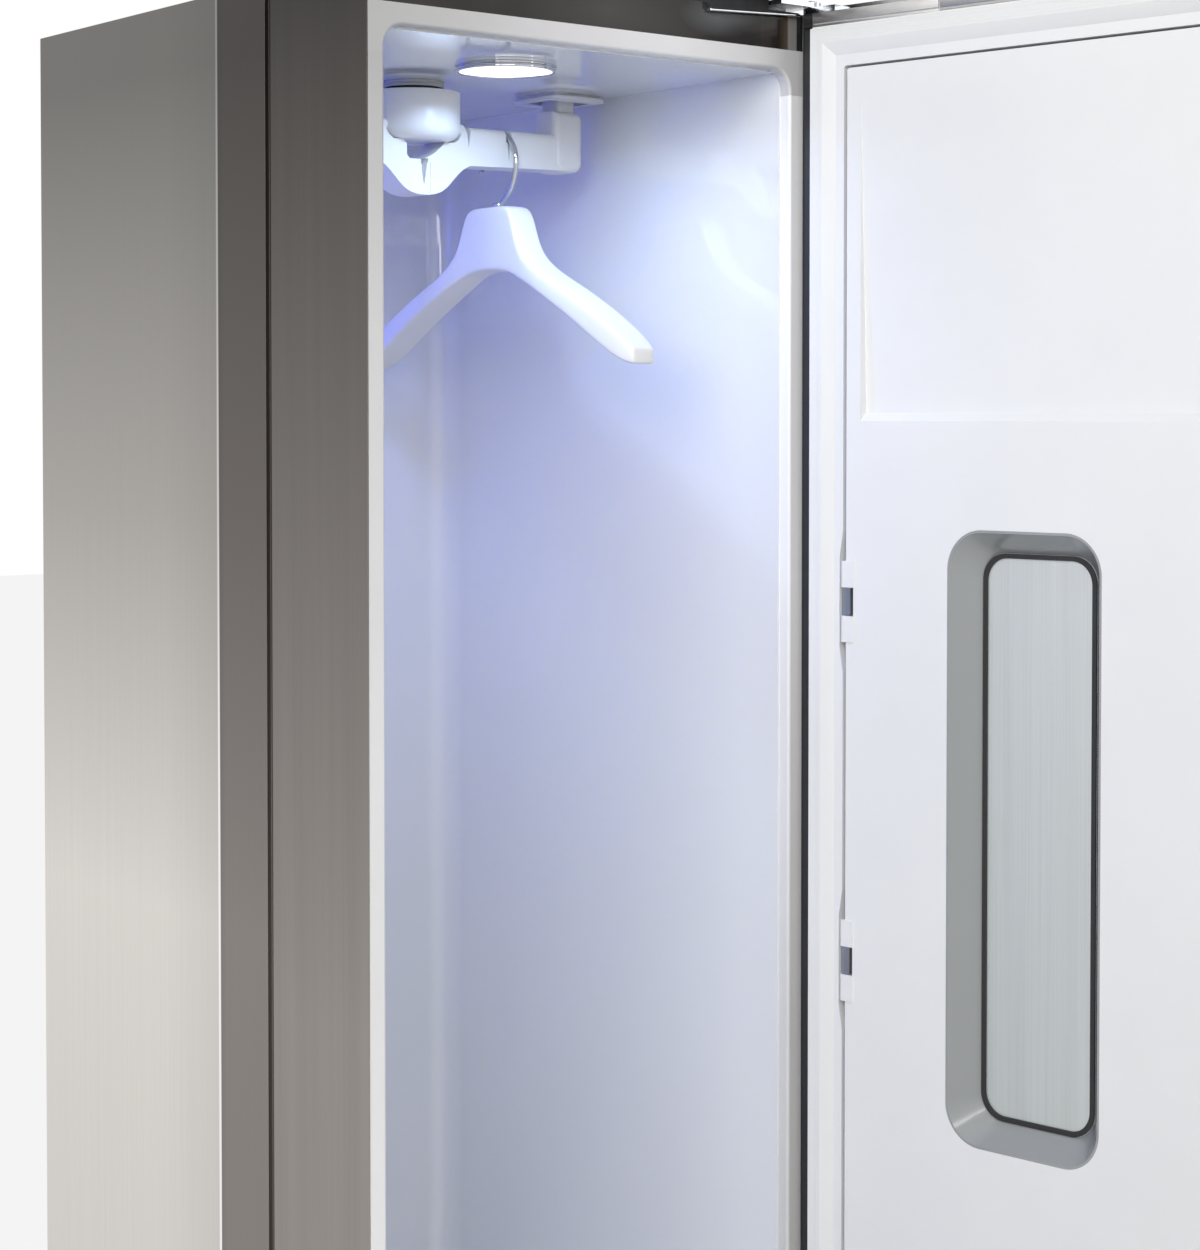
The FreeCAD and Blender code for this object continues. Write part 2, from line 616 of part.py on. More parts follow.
def door_skin():
    """The steel front with folded sides and a folded rear lip."""
    z0 = DOOR_BOTTOM + CAP_HEIGHT
    z1 = DOOR_TOP - CAP_HEIGHT
    outer = box(-HALF, HALF, DOOR_OUTER_Y, DOOR_INNER_Y - 3, z0, z1)
    outer = outer.makeFillet(6, edges_along(outer, UP, lambda p: p.y < DOOR_INNER_Y - 10))
    inner = box(-HALF + SHEET, HALF - SHEET, DOOR_OUTER_Y + SHEET, DOOR_INNER_Y - 3 - SHEET,
                z0 - 1, z1 + 1)
    inner = inner.makeFillet(5, edges_along(inner, UP, lambda p: p.y < DOOR_INNER_Y - 10))
    mouth = box(-HALF + LINER_STEP, HALF - LINER_STEP, DOOR_INNER_Y - 6, DOOR_INNER_Y, z0 - 1, z1 + 1)
    return cut(outer, inner, mouth, box(*GRIP))


def door_grip():
    """The finger trough in the free edge."""
    x0, x1, y0, y1, z0, z1 = GRIP
    inner = box(x0 - 1, x1 - 1.5, y0 + 1.5, y1 - 1.5, z0 + 1.5, z1 - 1.5)
    return box(*GRIP).cut(inner)


def door_core():
    """The filling between the skin and the liner."""
    z0 = DOOR_BOTTOM + CAP_HEIGHT
    z1 = DOOR_TOP - CAP_HEIGHT
    block = box(-HALF + 7.5, HALF - 7.5, DOOR_OUTER_Y + SHEET + 0.3, DOOR_INNER_Y - 4.5, z0, z1)
    return cut(block, press_pocket(3.3), box(*GRIP))


def door_liner():
    """The white inner tray, with the pocket for the press panel."""
    z0 = DOOR_BOTTOM + CAP_HEIGHT
    z1 = DOOR_TOP - CAP_HEIGHT
    tray = box(-HALF + LINER_STEP, HALF - LINER_STEP, DOOR_INNER_Y - 3, DOOR_INNER_Y, z0, z1)
    return cut(tray.fuse(press_pocket(3.0)).common(
        box(-HALF, HALF, DOOR_OUTER_Y, DOOR_INNER_Y, z0, z1)), press_pocket(0))


def door_gasket():
    """The soft white ring round the liner's border, with rounded shoulders."""
    inset = LINER_STEP + 1.5
    width = 24.0
    z0 = DOOR_BOTTOM + CAP_HEIGHT + 2
    z1 = DOOR_TOP - CAP_HEIGHT - 2
    outer = rounded(-HALF + inset, HALF - inset, DOOR_INNER_Y, DOOR_INNER_Y + 5.6, z0, z1, 6, ALONG_Y)
    def opening(border, y):
        """The wire of the ring's hole at one height of its slope."""
        frame = rounded(-HALF + inset + border, HALF - inset - border, y, y + 1, z0 + border,
                        z1 - border, 4, ALONG_Y)
        return [f for f in frame.Faces if abs(f.CenterOfMass.y - y) < 0.01][0].OuterWire

    slope = (width - 13.0) / 5.1
    mouth = Part.makeLoft([opening(width + slope, DOOR_INNER_Y - 1),
                           opening(width - slope * 7, DOOR_INNER_Y + 7)], True, True)
    ring = outer.cut(mouth)
    top = [e for e in ring.Edges if abs(e.CenterOfMass.y - (DOOR_INNER_Y + 5.6)) < 0.01
           and e.BoundBox.XLength + e.BoundBox.ZLength > 5
           and (abs(e.CenterOfMass.x) > HALF - inset - 3 or not z0 + 3 < e.CenterOfMass.z < z1 - 3)]
    return ring.makeFillet(2.2, top)


def door_end_caps():
    """The steel trims at the top and bottom of the door."""
    caps = []
    for z in (DOOR_BOTTOM, DOOR_TOP - CAP_HEIGHT):
        cap = box(-HALF, HALF, DOOR_OUTER_Y, DOOR_INNER_Y, z, z + CAP_HEIGHT)
        caps.append(cap.makeFillet(6, edges_along(cap, UP, lambda p: p.y < DOOR_INNER_Y - 10)))
    return group(*caps)


def touch_window():
    """A bare dark window on the front of the door."""
    return rounded(-30, 30, DOOR_OUTER_Y - 1.5, DOOR_OUTER_Y, 1180, 1500, 6, ALONG_Y)


# ---- Door hinges ----

TOP_LEAF_Z = DOOR_TOP
TOP_ARM_Z = TOP_LEAF_Z + LEAF_THICK + 0.6
SKIRT_Z = 1820.9
SKIRT_RISE = 4.6
LOW_LEAF_Z = DOOR_BOTTOM - LEAF_THICK
LOW_ARM_Z = LOW_LEAF_Z - 0.6 - BRACKET_THICK


def leaf(z):
    """The door's half of a hinge: a flat arm with a round eye."""
    arm = box(HINGE_X - LEAF_LENGTH, HINGE_X, HINGE_Y - 26, HINGE_Y - KNUCKLE_R + 5, z, z + LEAF_THICK)
    eye = rod(KNUCKLE_R, LEAF_THICK, HINGE_X, HINGE_Y, z)
    neck = box(HINGE_X - 30, HINGE_X, HINGE_Y - 10, HINGE_Y + KNUCKLE_R - 0.01, z, z + LEAF_THICK)
    return fuse(arm, eye, neck).cut(rod(HINGE_PIN_R + RUN_GAP, 20, HINGE_X, HINGE_Y, z - 5))


def door_hinge_leaves():
    """The two leaves on the ends of the door."""
    return group(leaf(TOP_LEAF_Z), leaf(LOW_LEAF_Z))


def top_hinge_bracket():
    """The cabinet's arm over the door: it stands on the roof and holds the upper pin."""
    arm = box(HINGE_X - 40, HINGE_X, HINGE_Y - 5, FRONT_Y + 70, TOP_ARM_Z, TOP_ARM_Z + BRACKET_THICK)
    eye = rod(KNUCKLE_R, BRACKET_THICK, HINGE_X, HINGE_Y, TOP_ARM_Z)
    foot = box(HINGE_X - 60, HINGE_X - 2, FRONT_Y + 16, FRONT_Y + 72, BODY_TOP, TOP_ARM_Z + 0.01)
    hole = rod(HINGE_PIN_R, 20, HINGE_X, HINGE_Y, TOP_ARM_Z - 5)
    screws = [rod(2.6, 30, HINGE_X - 50, y, BODY_TOP - 10) for y in (FRONT_Y + 26, FRONT_Y + 60)]
    pin = rod(HINGE_PIN_R, TOP_ARM_Z + BRACKET_THICK + 1.0 - TOP_LEAF_Z, HINGE_X, HINGE_Y,
              TOP_LEAF_Z + 0.5)
    return group(cut(fuse(arm, eye, foot), hole, *screws), pin)


def bottom_hinge_bracket():
    """The arm under the door: it is screwed to the base's front and holds the lower pin."""
    arm = box(HINGE_X - 40, HINGE_X, HINGE_Y - 5, FRONT_Y + 2.8, LOW_ARM_Z, LOW_ARM_Z + BRACKET_THICK)
    eye = rod(KNUCKLE_R, BRACKET_THICK, HINGE_X, HINGE_Y, LOW_ARM_Z)
    back = box(HINGE_X - 60, HINGE_X, FRONT_Y, FRONT_Y + 3, 5, 38)
    hole = rod(HINGE_PIN_R, 20, HINGE_X, HINGE_Y, LOW_ARM_Z - 5)
    pin = rod(HINGE_PIN_R, DOOR_BOTTOM - 0.5 - LOW_ARM_Z, HINGE_X, HINGE_Y, LOW_ARM_Z)
    return group(cut(fuse(arm, eye, back), hole), pin)


def hinge_cover():
    """The cover over the upper hinge, open towards the door."""
    x0 = HALF - 104
    y0 = FRONT_Y - 30
    z1 = 1850.0
    shell = box(x0, HALF, y0, FRONT_Y + 76, BODY_TOP, z1)
    shell = shell.makeFillet(4, edges_along(shell, UP) + edges_along(shell, ALONG_X, lambda p: p.z > z1 - 1))
    hollow = box(x0 + 2, HALF + 5, y0 + 2, FRONT_Y + 74, BODY_TOP - 1, z1 - 3)
    front = box(x0 - 1, HALF + 1, y0 - 1, FRONT_Y + 0.01, BODY_TOP - 1, TOP_ARM_Z + BRACKET_THICK + 3)
    outline = [(x0 - 6, SKIRT_Z), (212, SKIRT_Z + SKIRT_RISE), (212, z1 - 8), (x0 - 6, z1 - 8)]
    skirt = plate(outline, FRONT_Y - 5.2, FRONT_Y - 0.3)
    skirt = skirt.makeFillet(1.5, edges_along(skirt, ALONG_X, lambda p: p.y < FRONT_Y - 3))
    arm_way = box(HINGE_X - 41, HALF, FRONT_Y - 8, FRONT_Y + 1, TOP_LEAF_Z + 2, z1)
    roof_way = box(x0 - 8, x0 - 0.5, FRONT_Y - 8, FRONT_Y, BODY_TOP + 2, z1)
    return fuse(cut(shell, hollow, front), cut(skirt, arm_way, roof_way))


# ---- Press panel ----

def window_taper(grow, y0, y1):
    """A tapered block with the window recess's outline at the face, narrowing inwards."""
    def outline(inset, y):
        r = WINDOW_RADIUS - inset * 0.6 + grow
        frame = rounded(at_s(WINDOW_S1) + inset - grow, at_s(WINDOW_S0) - inset + grow, y, y + 1,
                        WINDOW_BOTTOM + inset - grow, WINDOW_TOP - inset + grow, r, ALONG_Y)
        faces = [f for f in frame.Faces if abs(f.CenterOfMass.y - y) < 0.01]
        return faces[0].OuterWire

    face_y = DOOR_INNER_Y
    slope = WINDOW_SLOPE / WINDOW_DEPTH
    return Part.makeLoft([outline((face_y - y0) * slope, y0), outline((face_y - y1) * slope, y1)],
                         True, True)


def pocket_wedge(extra):
    """The tapered dip in the upper half of the panel, ending in a ledge."""
    face = DOOR_INNER_Y
    profile = [(face, 1755.0), (face - 8 - extra, 1490.0), (face, 1483.0)]
    x0 = at_s(PANEL_S1 - 17)
    x1 = at_s(62.0)
    points = [vec(x0, y, z) for y, z in profile]
    return Part.Face(Part.makePolygon(points + points[:1])).extrude(vec(x1 - x0, 0, 0))


def press_flap():
    """The white hollow flap with its window hole, tapered dip, hinge eyes and latch hole."""
    x0, x1 = at_s(PANEL_S1), at_s(PANEL_S0)
    y0, y1 = DOOR_INNER_Y - PANEL_THICK, DOOR_INNER_Y
    blank = panel_block(x0, x1, y0, y1, PANEL_BOTTOM, PANEL_TOP)
    w = PANEL_WALL
    hollow = panel_block(x0 + w, x1 - w, y0 - 1, y1 - w, PANEL_BOTTOM + w, PANEL_TOP - w, -w)
    hollow = hollow.cut(box(x0, x1, y1 - 11.5, y1, 1478, 1760))
    latch = box(LATCH_X - 6.5, LATCH_X + 6.5, y1 - 8, y1 + 1, LATCH_Z - 18.5, LATCH_Z + 18.5)
    seat = [box(x1 - 7.5, x1 + 1, y1 - 11, y1 + 1, z - CLIP_SLOT / 2, z + CLIP_SLOT / 2)
            for z in CLIP_Z]
    flap = cut(blank, hollow, pocket_wedge(0), latch, window_taper(0.0, y1 - 11.9, y1 + 1))
    linings = [box(x1 - 9.5, x1, y1 - 13, y1, z - CLIP_SLOT / 2 - 2, z + CLIP_SLOT / 2 + 2)
               for z in CLIP_Z]
    flap = cut(fuse(flap, *linings), *seat)
    eyes = []
    for z in CLIP_Z:
        for z0 in (z - CLIP_SLOT / 2 - CLIP_BLOCK, z + CLIP_SLOT / 2):
            eye = rod(PANEL_KNUCKLE_R, CLIP_BLOCK, PANEL_AXIS_X, PANEL_AXIS_Y, z0)
            web = box(x1 - 8, PANEL_AXIS_X, PANEL_AXIS_Y - PANEL_KNUCKLE_R,
                      PANEL_AXIS_Y + PANEL_KNUCKLE_R, z0, z0 + CLIP_BLOCK)
            eyes.append(eye.fuse(web))
    flap = fuse(flap, *eyes)
    bores = [rod(PANEL_PIN_R + RUN_GAP, 80, PANEL_AXIS_X, PANEL_AXIS_Y, z - 40) for z in CLIP_Z]
    return cut(flap, *bores)


LATCH_X = at_s(PANEL_S1 - 12)
LATCH_Z = 1180.0


def press_latch():
    """The push button that frees the flap, with a retaining rim behind the face."""
    y1 = DOOR_INNER_Y
    head = rounded(LATCH_X - 6, LATCH_X + 6, y1 - 4, y1 + 0.5, LATCH_Z - 18, LATCH_Z + 18, 3, ALONG_Y)
    rim = box(LATCH_X - 7.5, LATCH_X + 7.5, y1 - 6, y1 - 3.5, LATCH_Z - 20, LATCH_Z + 20)
    return fuse(head, rim)


def press_pad():
    """The flat pad that closes the flap's back and presses the cloth."""
    x0, x1 = at_s(PANEL_S1), at_s(PANEL_S0)
    y0 = DOOR_INNER_Y - PANEL_THICK
    w = PANEL_WALL
    return panel_block(x0 + w, x1 - w, y0, y0 + 2.6, PANEL_BOTTOM + w, PANEL_TOP - w, -w)


def press_window_tub():
    """The grey sloping surround of the panel's window."""
    y1 = DOOR_INNER_Y
    y0 = y1 - WINDOW_DEPTH
    return window_taper(0.0, y0, y1 - 0.2).cut(window_taper(-2.0, y0 - 1, y1 + 1))


def press_plate():
    """The brushed plate at the bottom of the window."""
    inset = WINDOW_SLOPE
    y0 = DOOR_INNER_Y - WINDOW_DEPTH - 2.4
    return rounded(at_s(WINDOW_S1) + inset, at_s(WINDOW_S0) - inset, y0, y0 + 2.4,
                   WINDOW_BOTTOM + inset, WINDOW_TOP - inset, WINDOW_RADIUS - inset * 0.6, ALONG_Y)


def press_window_gasket():
    """The thin black seal between the surround and the plate."""
    inset = WINDOW_SLOPE + 2.2
    y0 = DOOR_INNER_Y - WINDOW_DEPTH
    r = WINDOW_RADIUS - inset * 0.6
    outer = rounded(at_s(WINDOW_S1) + inset, at_s(WINDOW_S0) - inset, y0, y0 + 1.6,
                    WINDOW_BOTTOM + inset, WINDOW_TOP - inset, r, ALONG_Y)
    inner = rounded(at_s(WINDOW_S1) + inset + 4, at_s(WINDOW_S0) - inset - 4, y0 - 1, y0 + 3,
                    WINDOW_BOTTOM + inset + 4, WINDOW_TOP - inset - 4, r - 3, ALONG_Y)
    return outer.cut(inner)


def press_hinge_clips():
    """The ears on the door's pocket wall, each with its pin."""
    pieces = []
    for z in CLIP_Z:
        ear = box(PANEL_AXIS_X - 7.0, PANEL_AXIS_X + 0.5, PANEL_AXIS_Y - 3, PANEL_AXIS_Y + 1.9,
                  z - 11.5, z + 11.5)
        arm = box(PANEL_AXIS_X, POCKET_X1 + CLIP_SWELL, PANEL_AXIS_Y - 4, PANEL_AXIS_Y - 1.5,
                  z - 11.5, z + 11.5)
        pieces.append(ear.fuse(arm).cut(rod(PANEL_PIN_R, 40, PANEL_AXIS_X, PANEL_AXIS_Y, z - 20)))
        pieces.append(rod(PANEL_PIN_R, 66, PANEL_AXIS_X, PANEL_AXIS_Y, z - 33))
    return group(*pieces)


# ---- Tanks and machine room ----

TANK_Y0 = FRONT_Y + 6.0
SHELF_Z = 300.0


def tank_housing():
    """The white bay for both tanks, open at the front, with a wall between them."""
    x1 = OPENING_HALF
    blank = box(-x1, x1, FRONT_Y + 1, TANK_Y0 + TANK_DEPTH + BAY_GAP + 4, TANK_Z - 8, SHELF_Z)
    bays = []
    for x in (-TANK_X, TANK_X):
        w = TANK_WIDTH / 2 + BAY_GAP
        bays.append(box(x - w, x + w, FRONT_Y, TANK_Y0 + TANK_DEPTH + BAY_GAP,
                        TANK_Z - 0.4, TANK_Z + TANK_HEIGHT + 12))
    fascia = box(-x1, x1, FRONT_Y + 1, FRONT_Y + 5, SHELF_Z, TUB_FLOOR - SILL_HEIGHT - 0.5)
    return fuse(cut(blank, *bays), fascia)


def tank(side):
    """One water tank: an open box with rounded corners, a front step and a finger grip."""
    x = side * TANK_X
    w = TANK_WIDTH / 2
    y0, y1 = TANK_Y0, TANK_Y0 + TANK_DEPTH
    body = rounded(x - w, x + w, y0, y1, TANK_Z, TANK_Z + TANK_HEIGHT, 10)
    inner = rounded(x - w + TANK_WALL, x + w - TANK_WALL, y0 + TANK_WALL, y1 - TANK_WALL,
                    TANK_Z + TANK_WALL, TANK_Z + TANK_HEIGHT + 1, 8)
    return body.cut(inner)


def tank_lid(side):
    """A tank's lid with its arched handle, filling mouth and rear spout."""
    x = side * TANK_X
    w = TANK_WIDTH / 2
    y0, y1 = TANK_Y0, TANK_Y0 + TANK_DEPTH
    z = TANK_Z + TANK_HEIGHT
    top = rounded(x - w, x + w, y0, y1, z, z + 4, 10)
    plug = rounded(x - w + 3.4, x + w - 3.4, y0 + 3.4, y1 - 3.4, z - 5, z + 1, 7)
    plug = plug.cut(rounded(x - w + 6, x + w - 6, y0 + 6, y1 - 6, z - 6, z, 6))
    mouth = rod(14, 8, x, y1 - 30, z - 1)
    front = box(x - w + 12, x + w - 12, y0 - 4, y0, z - 52, z + 4)
    grip = box(x - 55, x + 55, y0 - 5, y0 - 1.8, z - 44, z - 14)
    return cut(fuse(top, plug, mouth, front), rod(11, 12, x, y1 - 30, z - 3), grip)


def lint_filter():
    """The filter that lifts out of the tub's floor: a frame, its mesh and a pull tab."""
    y0 = FRONT_Y + BEZEL_THICK + 21
    y1 = y0 + 30
    frame = box(-120, 120, y0, y1, TUB_FLOOR - 60, TUB_FLOOR + 3)
    windows = [box(x - 35, x + 35, y0 - 1, y1 + 1, TUB_FLOOR - 52, TUB_FLOOR - 6) for x in (-80, 0, 80)]
    hollow = box(-116, 116, y0 + 4, y1 - 4, TUB_FLOOR - 61, TUB_FLOOR - 1)
    rim = box(-123, 123, y0 - 3.5, y1 + 3.5, TUB_FLOOR + 0.4, TUB_FLOOR + 3)
    tab = rounded(-24, 24, y0 + 11, y1 - 11, TUB_FLOOR + 2, TUB_FLOOR + 16, 5, ALONG_Y)
    body = fuse(frame.cut(group(*windows)).cut(hollow), rim, tab)
    mesh = box(-116, 116, y0 + 14.5, y0 + 15.5, TUB_FLOOR - 58, TUB_FLOOR - 1)
    return group(body, mesh)


def floor_grille():
    """The outlet grille at the back of the tub's floor, with the steam nozzle in it."""
    y0, y1 = TUB_BACK_Y - 80, TUB_BACK_Y - 20
    plate_body = rounded(-155, 155, y0, y1, TUB_FLOOR, TUB_FLOOR + 3, 6)
    slots = []
    for i in range(18):
        x = -136 + i * 16
        if abs(x) > 34:
            slots.append(box(x - 4, x + 4, y0 + 9, y1 - 9, TUB_FLOOR - 1, TUB_FLOOR + 4))
    nozzle = tube(15, 5, 14, 0, (y0 + y1) / 2, TUB_FLOOR - 6)
    well = rod(14, 20, 0, (y0 + y1) / 2, TUB_FLOOR - 8)
    return fuse(cut(plate_body, well, *slots), nozzle)


def steam_generator():
    """The small boiler under the nozzle, with its feet."""
    y = TUB_BACK_Y - 50
    pot = rounded(-60, 60, y - 34, y + 34, 330, 420, 12)
    neck = rod(9, 46, 0, y, 420)
    inlet = rod(5, 26, -70, y, 350, ALONG_X)
    legs = [box(x - 6, x + 6, y - 8, y + 8, SHELF_Z + 3, 330) for x in (-44, 44)]
    return fuse(pot, neck, inlet, *legs)


def machine_shelf():
    """The sheet that carries the boiler, exchanger and blower above the compressor."""
    sheet = box(-TUB_HALF, TUB_HALF, TANK_Y0 + TANK_DEPTH + 8, BACK_Y - 4, SHELF_Z, SHELF_Z + 3)
    lip = box(-TUB_HALF, TUB_HALF, FRONT_Y + 6, TANK_Y0 + TANK_DEPTH + 8, SHELF_Z, SHELF_Z + 3)
    return fuse(sheet, lip)


def compressor():
    """The compressor's can on its feet, with its pipe stubs."""
    x, y = -70, 120
    can = rod(56, 150, x, y, PLINTH_TOP + 15)
    rims = [e for e in can.Edges if e.Length > 300]
    can = can.makeFillet(22, rims)
    feet = box(x - 78, x + 78, y - 22, y + 22, PLINTH_TOP + 11, PLINTH_TOP + 18)
    grommets = [rod(9, 9, x + dx, y, PLINTH_TOP + 3) for dx in (-66, 66)]
    stubs = [rod(4, 40, x + dx, y, PLINTH_TOP + 150) for dx in (-16, 16)]
    return fuse(can, feet, *grommets, *stubs)


def heat_exchanger():
    """The finned block that warms and dries the air, with its tubes through the fins."""
    x0, x1 = -190.0, -74.0
    y0, y1 = -120.0, 130.0
    z0 = SHELF_Z + 6
    fins = [box(x0, x1, y0 + i * 10, y0 + i * 10 + 2, z0, z0 + 130) for i in range(26)]
    tubes = []
    for x in (x0 + 28, x0 + 88):
        for z in (z0 + 25, z0 + 65, z0 + 105):
            tubes.append(rod(5, y1 - y0 + 12, x, y0 - 6, z, ALONG_Y))
    rails = [box(x0, x1, y0, y1 + 2, z0 - 3, z0)]
    return fuse(fins[0], *fins[1:], *tubes, *rails)


BLOWER = (90.0, -10.0)
BLOWER_Z = SHELF_Z + 3.0


def blower_housing():
    """The scroll round the blower's wheel, with its intake below the lid and its outlet."""
    x, y = BLOWER
    scroll = rod(88, 110, x, y, BLOWER_Z).fuse(box(x, x + 88, y, y + 110, BLOWER_Z, BLOWER_Z + 110))
    inner = rod(84, 102, x, y, BLOWER_Z + 4).fuse(
        box(x + 4, x + 84, y, y + 120, BLOWER_Z + 4, BLOWER_Z + 106))
    return group(cut(scroll, inner, rod(52, 20, x, y, BLOWER_Z + 100)), blower_motor())


def blower_motor():
    """The motor in the middle of the wheel, with its shaft."""
    x, y = BLOWER
    return fuse(rod(30, 38, x, y, BLOWER_Z + 4), rod(4, 40, x, y, BLOWER_Z + 40))


def blower_wheel():
    """The drum of forward blades that the motor turns."""
    x, y = BLOWER
    z = BLOWER_Z + 44
    disc = rod(76, 3, x, y, z + 18)
    ring = tube(76, 66, 3, x, y, z + 48)
    hub = rod(10, 16, x, y, z + 8)
    blades = []
    for i in range(24):
        blade = box(x + 66, x + 75, y - 0.8, y + 0.8, z + 20, z + 49)
        blade.rotate(vec(x + 70, y, 0), UP, 25)
        blade.rotate(vec(x, y, 0), UP, i * 15)
        blades.append(blade)
    wheel = fuse(disc, ring, hub, *blades)
    return wheel.cut(rod(4 + RUN_GAP, 60, x, y, z - 2))


def pumps_and_hoses():
    """The supply pump and the drain pump beside the compressor, each with its hose."""
    pumps = []
    for x, y in ((60, 60), (60, 150)):
        can = rod(24, 60, x, y, PLINTH_TOP + 3)
        spout = rod(6, 36, x, y, PLINTH_TOP + 40, ALONG_X)
        pumps.append(fuse(can, spout))
    return group(*pumps, *hoses())


def water_hose(points, r):
    """A hose of straight runs joined by round bends."""
    runs = []
    previous = points[0]
    for here, after in zip(points[1:], points[2:]):
        back = previous.sub(here)
        ahead = after.sub(here)
        setback = min(20.0, back.Length * 0.45, ahead.Length * 0.45)
        a = here.add(back.normalize().multiply(setback))
        b = here.add(ahead.normalize().multiply(setback))
        turn = math.pi - a.sub(here).getAngle(b.sub(here))
        radius = setback / math.tan(turn / 2)
        inward = a.add(b).multiply(0.5).sub(here).normalize()
        middle = here.add(inward.multiply(radius / math.cos(turn / 2) - radius))
        runs.append(Part.LineSegment(previous, a).toShape())
        runs.append(Part.Arc(a, middle, b).toShape())
        previous = b
    runs.append(Part.LineSegment(previous, points[-1]).toShape())
    start = points[1].sub(points[0])
    profile = Part.Wire(Part.makeCircle(r, points[0], start))
    return Part.Wire(runs).makePipeShell([profile], True, True)


def hoses():
    """The hoses from the pumps to the tanks' bays and to the boiler."""
    y_bay = TANK_Y0 + TANK_DEPTH + BAY_GAP + 4.5
    supply = water_hose([vec(96, 60, 83), vec(140, 60, 83), vec(140, y_bay + 40, 110),
                         vec(140, y_bay, 110)], 6)
    drain = water_hose([vec(96, 150, 83), vec(170, 150, 83), vec(170, 90, 200),
                        vec(30, 60, 240), vec(30, y_bay, 240)], 6)
    return [supply, drain]


def control_board():
    """The control box with its circuit board, beside the compressor at the back."""
    case = box(120, 200, 180, 256, PLINTH_TOP + 3, 240)
    hollow = box(123, 197, 183, 253, PLINTH_TOP + 6, 241)
    board = box(130, 132, 186, 250, PLINTH_TOP + 10, 230)
    lid = box(120, 200, 180, 256, 240, 243)
    return group(case.cut(hollow), board, lid)


def power_inlet():
    """The recessed inlet at the lower back, with three contact blades."""
    block = box(-176, -144, BACK_Y - 24, BACK_Y + 0, 92, 116)
    well = box(-172, -148, BACK_Y - 16, BACK_Y + 5, 96, 112)
    blades = [box(x - 1, x + 1, BACK_Y - 17, BACK_Y - 3, z - 3, z + 3)
              for x, z in ((-167, 101), (-160, 107), (-153, 101))]
    return fuse(block.cut(well), *blades)


def cabinet_screws():
    """The screws of the upper hinge foot and of the back panel."""
    screws = []
    for y in (FRONT_Y + 26, FRONT_Y + 60):
        z = TOP_ARM_Z
        screws.append(fuse(rod(4.5, 2.5, HINGE_X - 50, y, z + 0.01),
                           rod(2.4, z - BODY_TOP + 2, HINGE_X - 50, y, BODY_TOP + 0.1)))
    for x in (-200, 200):
        for z in (120, 700, 1250, 1790):
            screws.append(rod(4.5, 2.0, x, BACK_Y, z, ALONG_Y))
    return group(*screws)


def main():
    """Builds every sub-part and writes its file."""
    os.makedirs("parts", exist_ok=True)
    cladding = front_cladding()
    panel = side_panel()
    sides = {
        "base_frame": base_frame(),
        "levelling_feet": levelling_feet(),
        "right_front_cladding": cladding,
        "left_front_cladding": to_left(cladding),
        "right_side_panel": panel,
        "left_side_panel": to_left(panel),
        "back_panel": back_panel(),
        "top_panel": top_panel(),
        "header_panel": header_panel(),
        "front_bezel_top": bezel_ring(BEZEL_TOP - BEZEL_WIDTH - BEZEL_CORNER_DROP, BEZEL_TOP),
        "front_bezel_lower": bezel_ring(PLINTH_TOP + 3,
                                        BEZEL_TOP - BEZEL_WIDTH - BEZEL_CORNER_DROP),
        "cavity_liner": cavity_liner(),
        "insulation_jacket": insulation_jacket(),
        "cabinet_screws": cabinet_screws(),
        "top_hinge_bracket": top_hinge_bracket(),
        "bottom_hinge_bracket": bottom_hinge_bracket(),
        "hinge_cover": hinge_cover(),
    }
    ceiling = {
        "lamp_ring": lamp_ring(),
        "lamp_lens": lamp_lens(),
        "ceiling_escutcheons": ceiling_escutcheons(),
        "drive_plate": drive_plate(),
        "drive_belt": drive_belt(),
        "crank_wheel": crank_wheel(),
        "motor_pulley": motor_pulley(),
        "hanger_bar": hanger_bar(),
        "drive_cup": drive_cup(),
        "slide_bushes": slide_bushes(),
        "garment_hanger": garment_hanger(),
        "hanger_hook": hanger_hook(),
    }
    door = {
        "door_skin": door_skin(),
        "door_core": door_core(),
        "door_liner": door_liner(),
        "door_gasket": door_gasket(),
        "door_end_caps": door_end_caps(),
        "door_hinge_leaves": door_hinge_leaves(),
        "door_grip": door_grip(),
        "touch_window": touch_window(),
        "press_flap": press_flap(),
        "press_pad": press_pad(),
        "press_latch": press_latch(),
        "press_window_tub": press_window_tub(),
        "press_window_gasket": press_window_gasket(),
        "press_plate": press_plate(),
        "press_hinge_clips": press_hinge_clips(),
    }
    machine = {
        "tank_housing": tank_housing(),
        "supply_tank": tank(-1),
        "supply_tank_lid": tank_lid(-1),
        "drain_tank": tank(1),
        "drain_tank_lid": tank_lid(1),
        "lint_filter": lint_filter(),
        "floor_grille": floor_grille(),
        "machine_shelf": machine_shelf(),
        "steam_generator": steam_generator(),
        "compressor": compressor(),
        "heat_exchanger": heat_exchanger(),
        "blower_housing": blower_housing(),
        "blower_wheel": blower_wheel(),
        "pumps_and_hoses": pumps_and_hoses(),
        "control_board": control_board(),
        "power_inlet": power_inlet(),
    }
    for pieces in (sides, ceiling, machine):
        for name, shape in pieces.items():
            save(name, shape)
    for name, shape in door.items():
        save(name, swung(shape))


main()
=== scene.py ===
"""The finish of a clothes care steam cabinet: materials, fine parts, light and camera."""
import json
import math

import bmesh
import bpy
from mathutils import Matrix, Vector


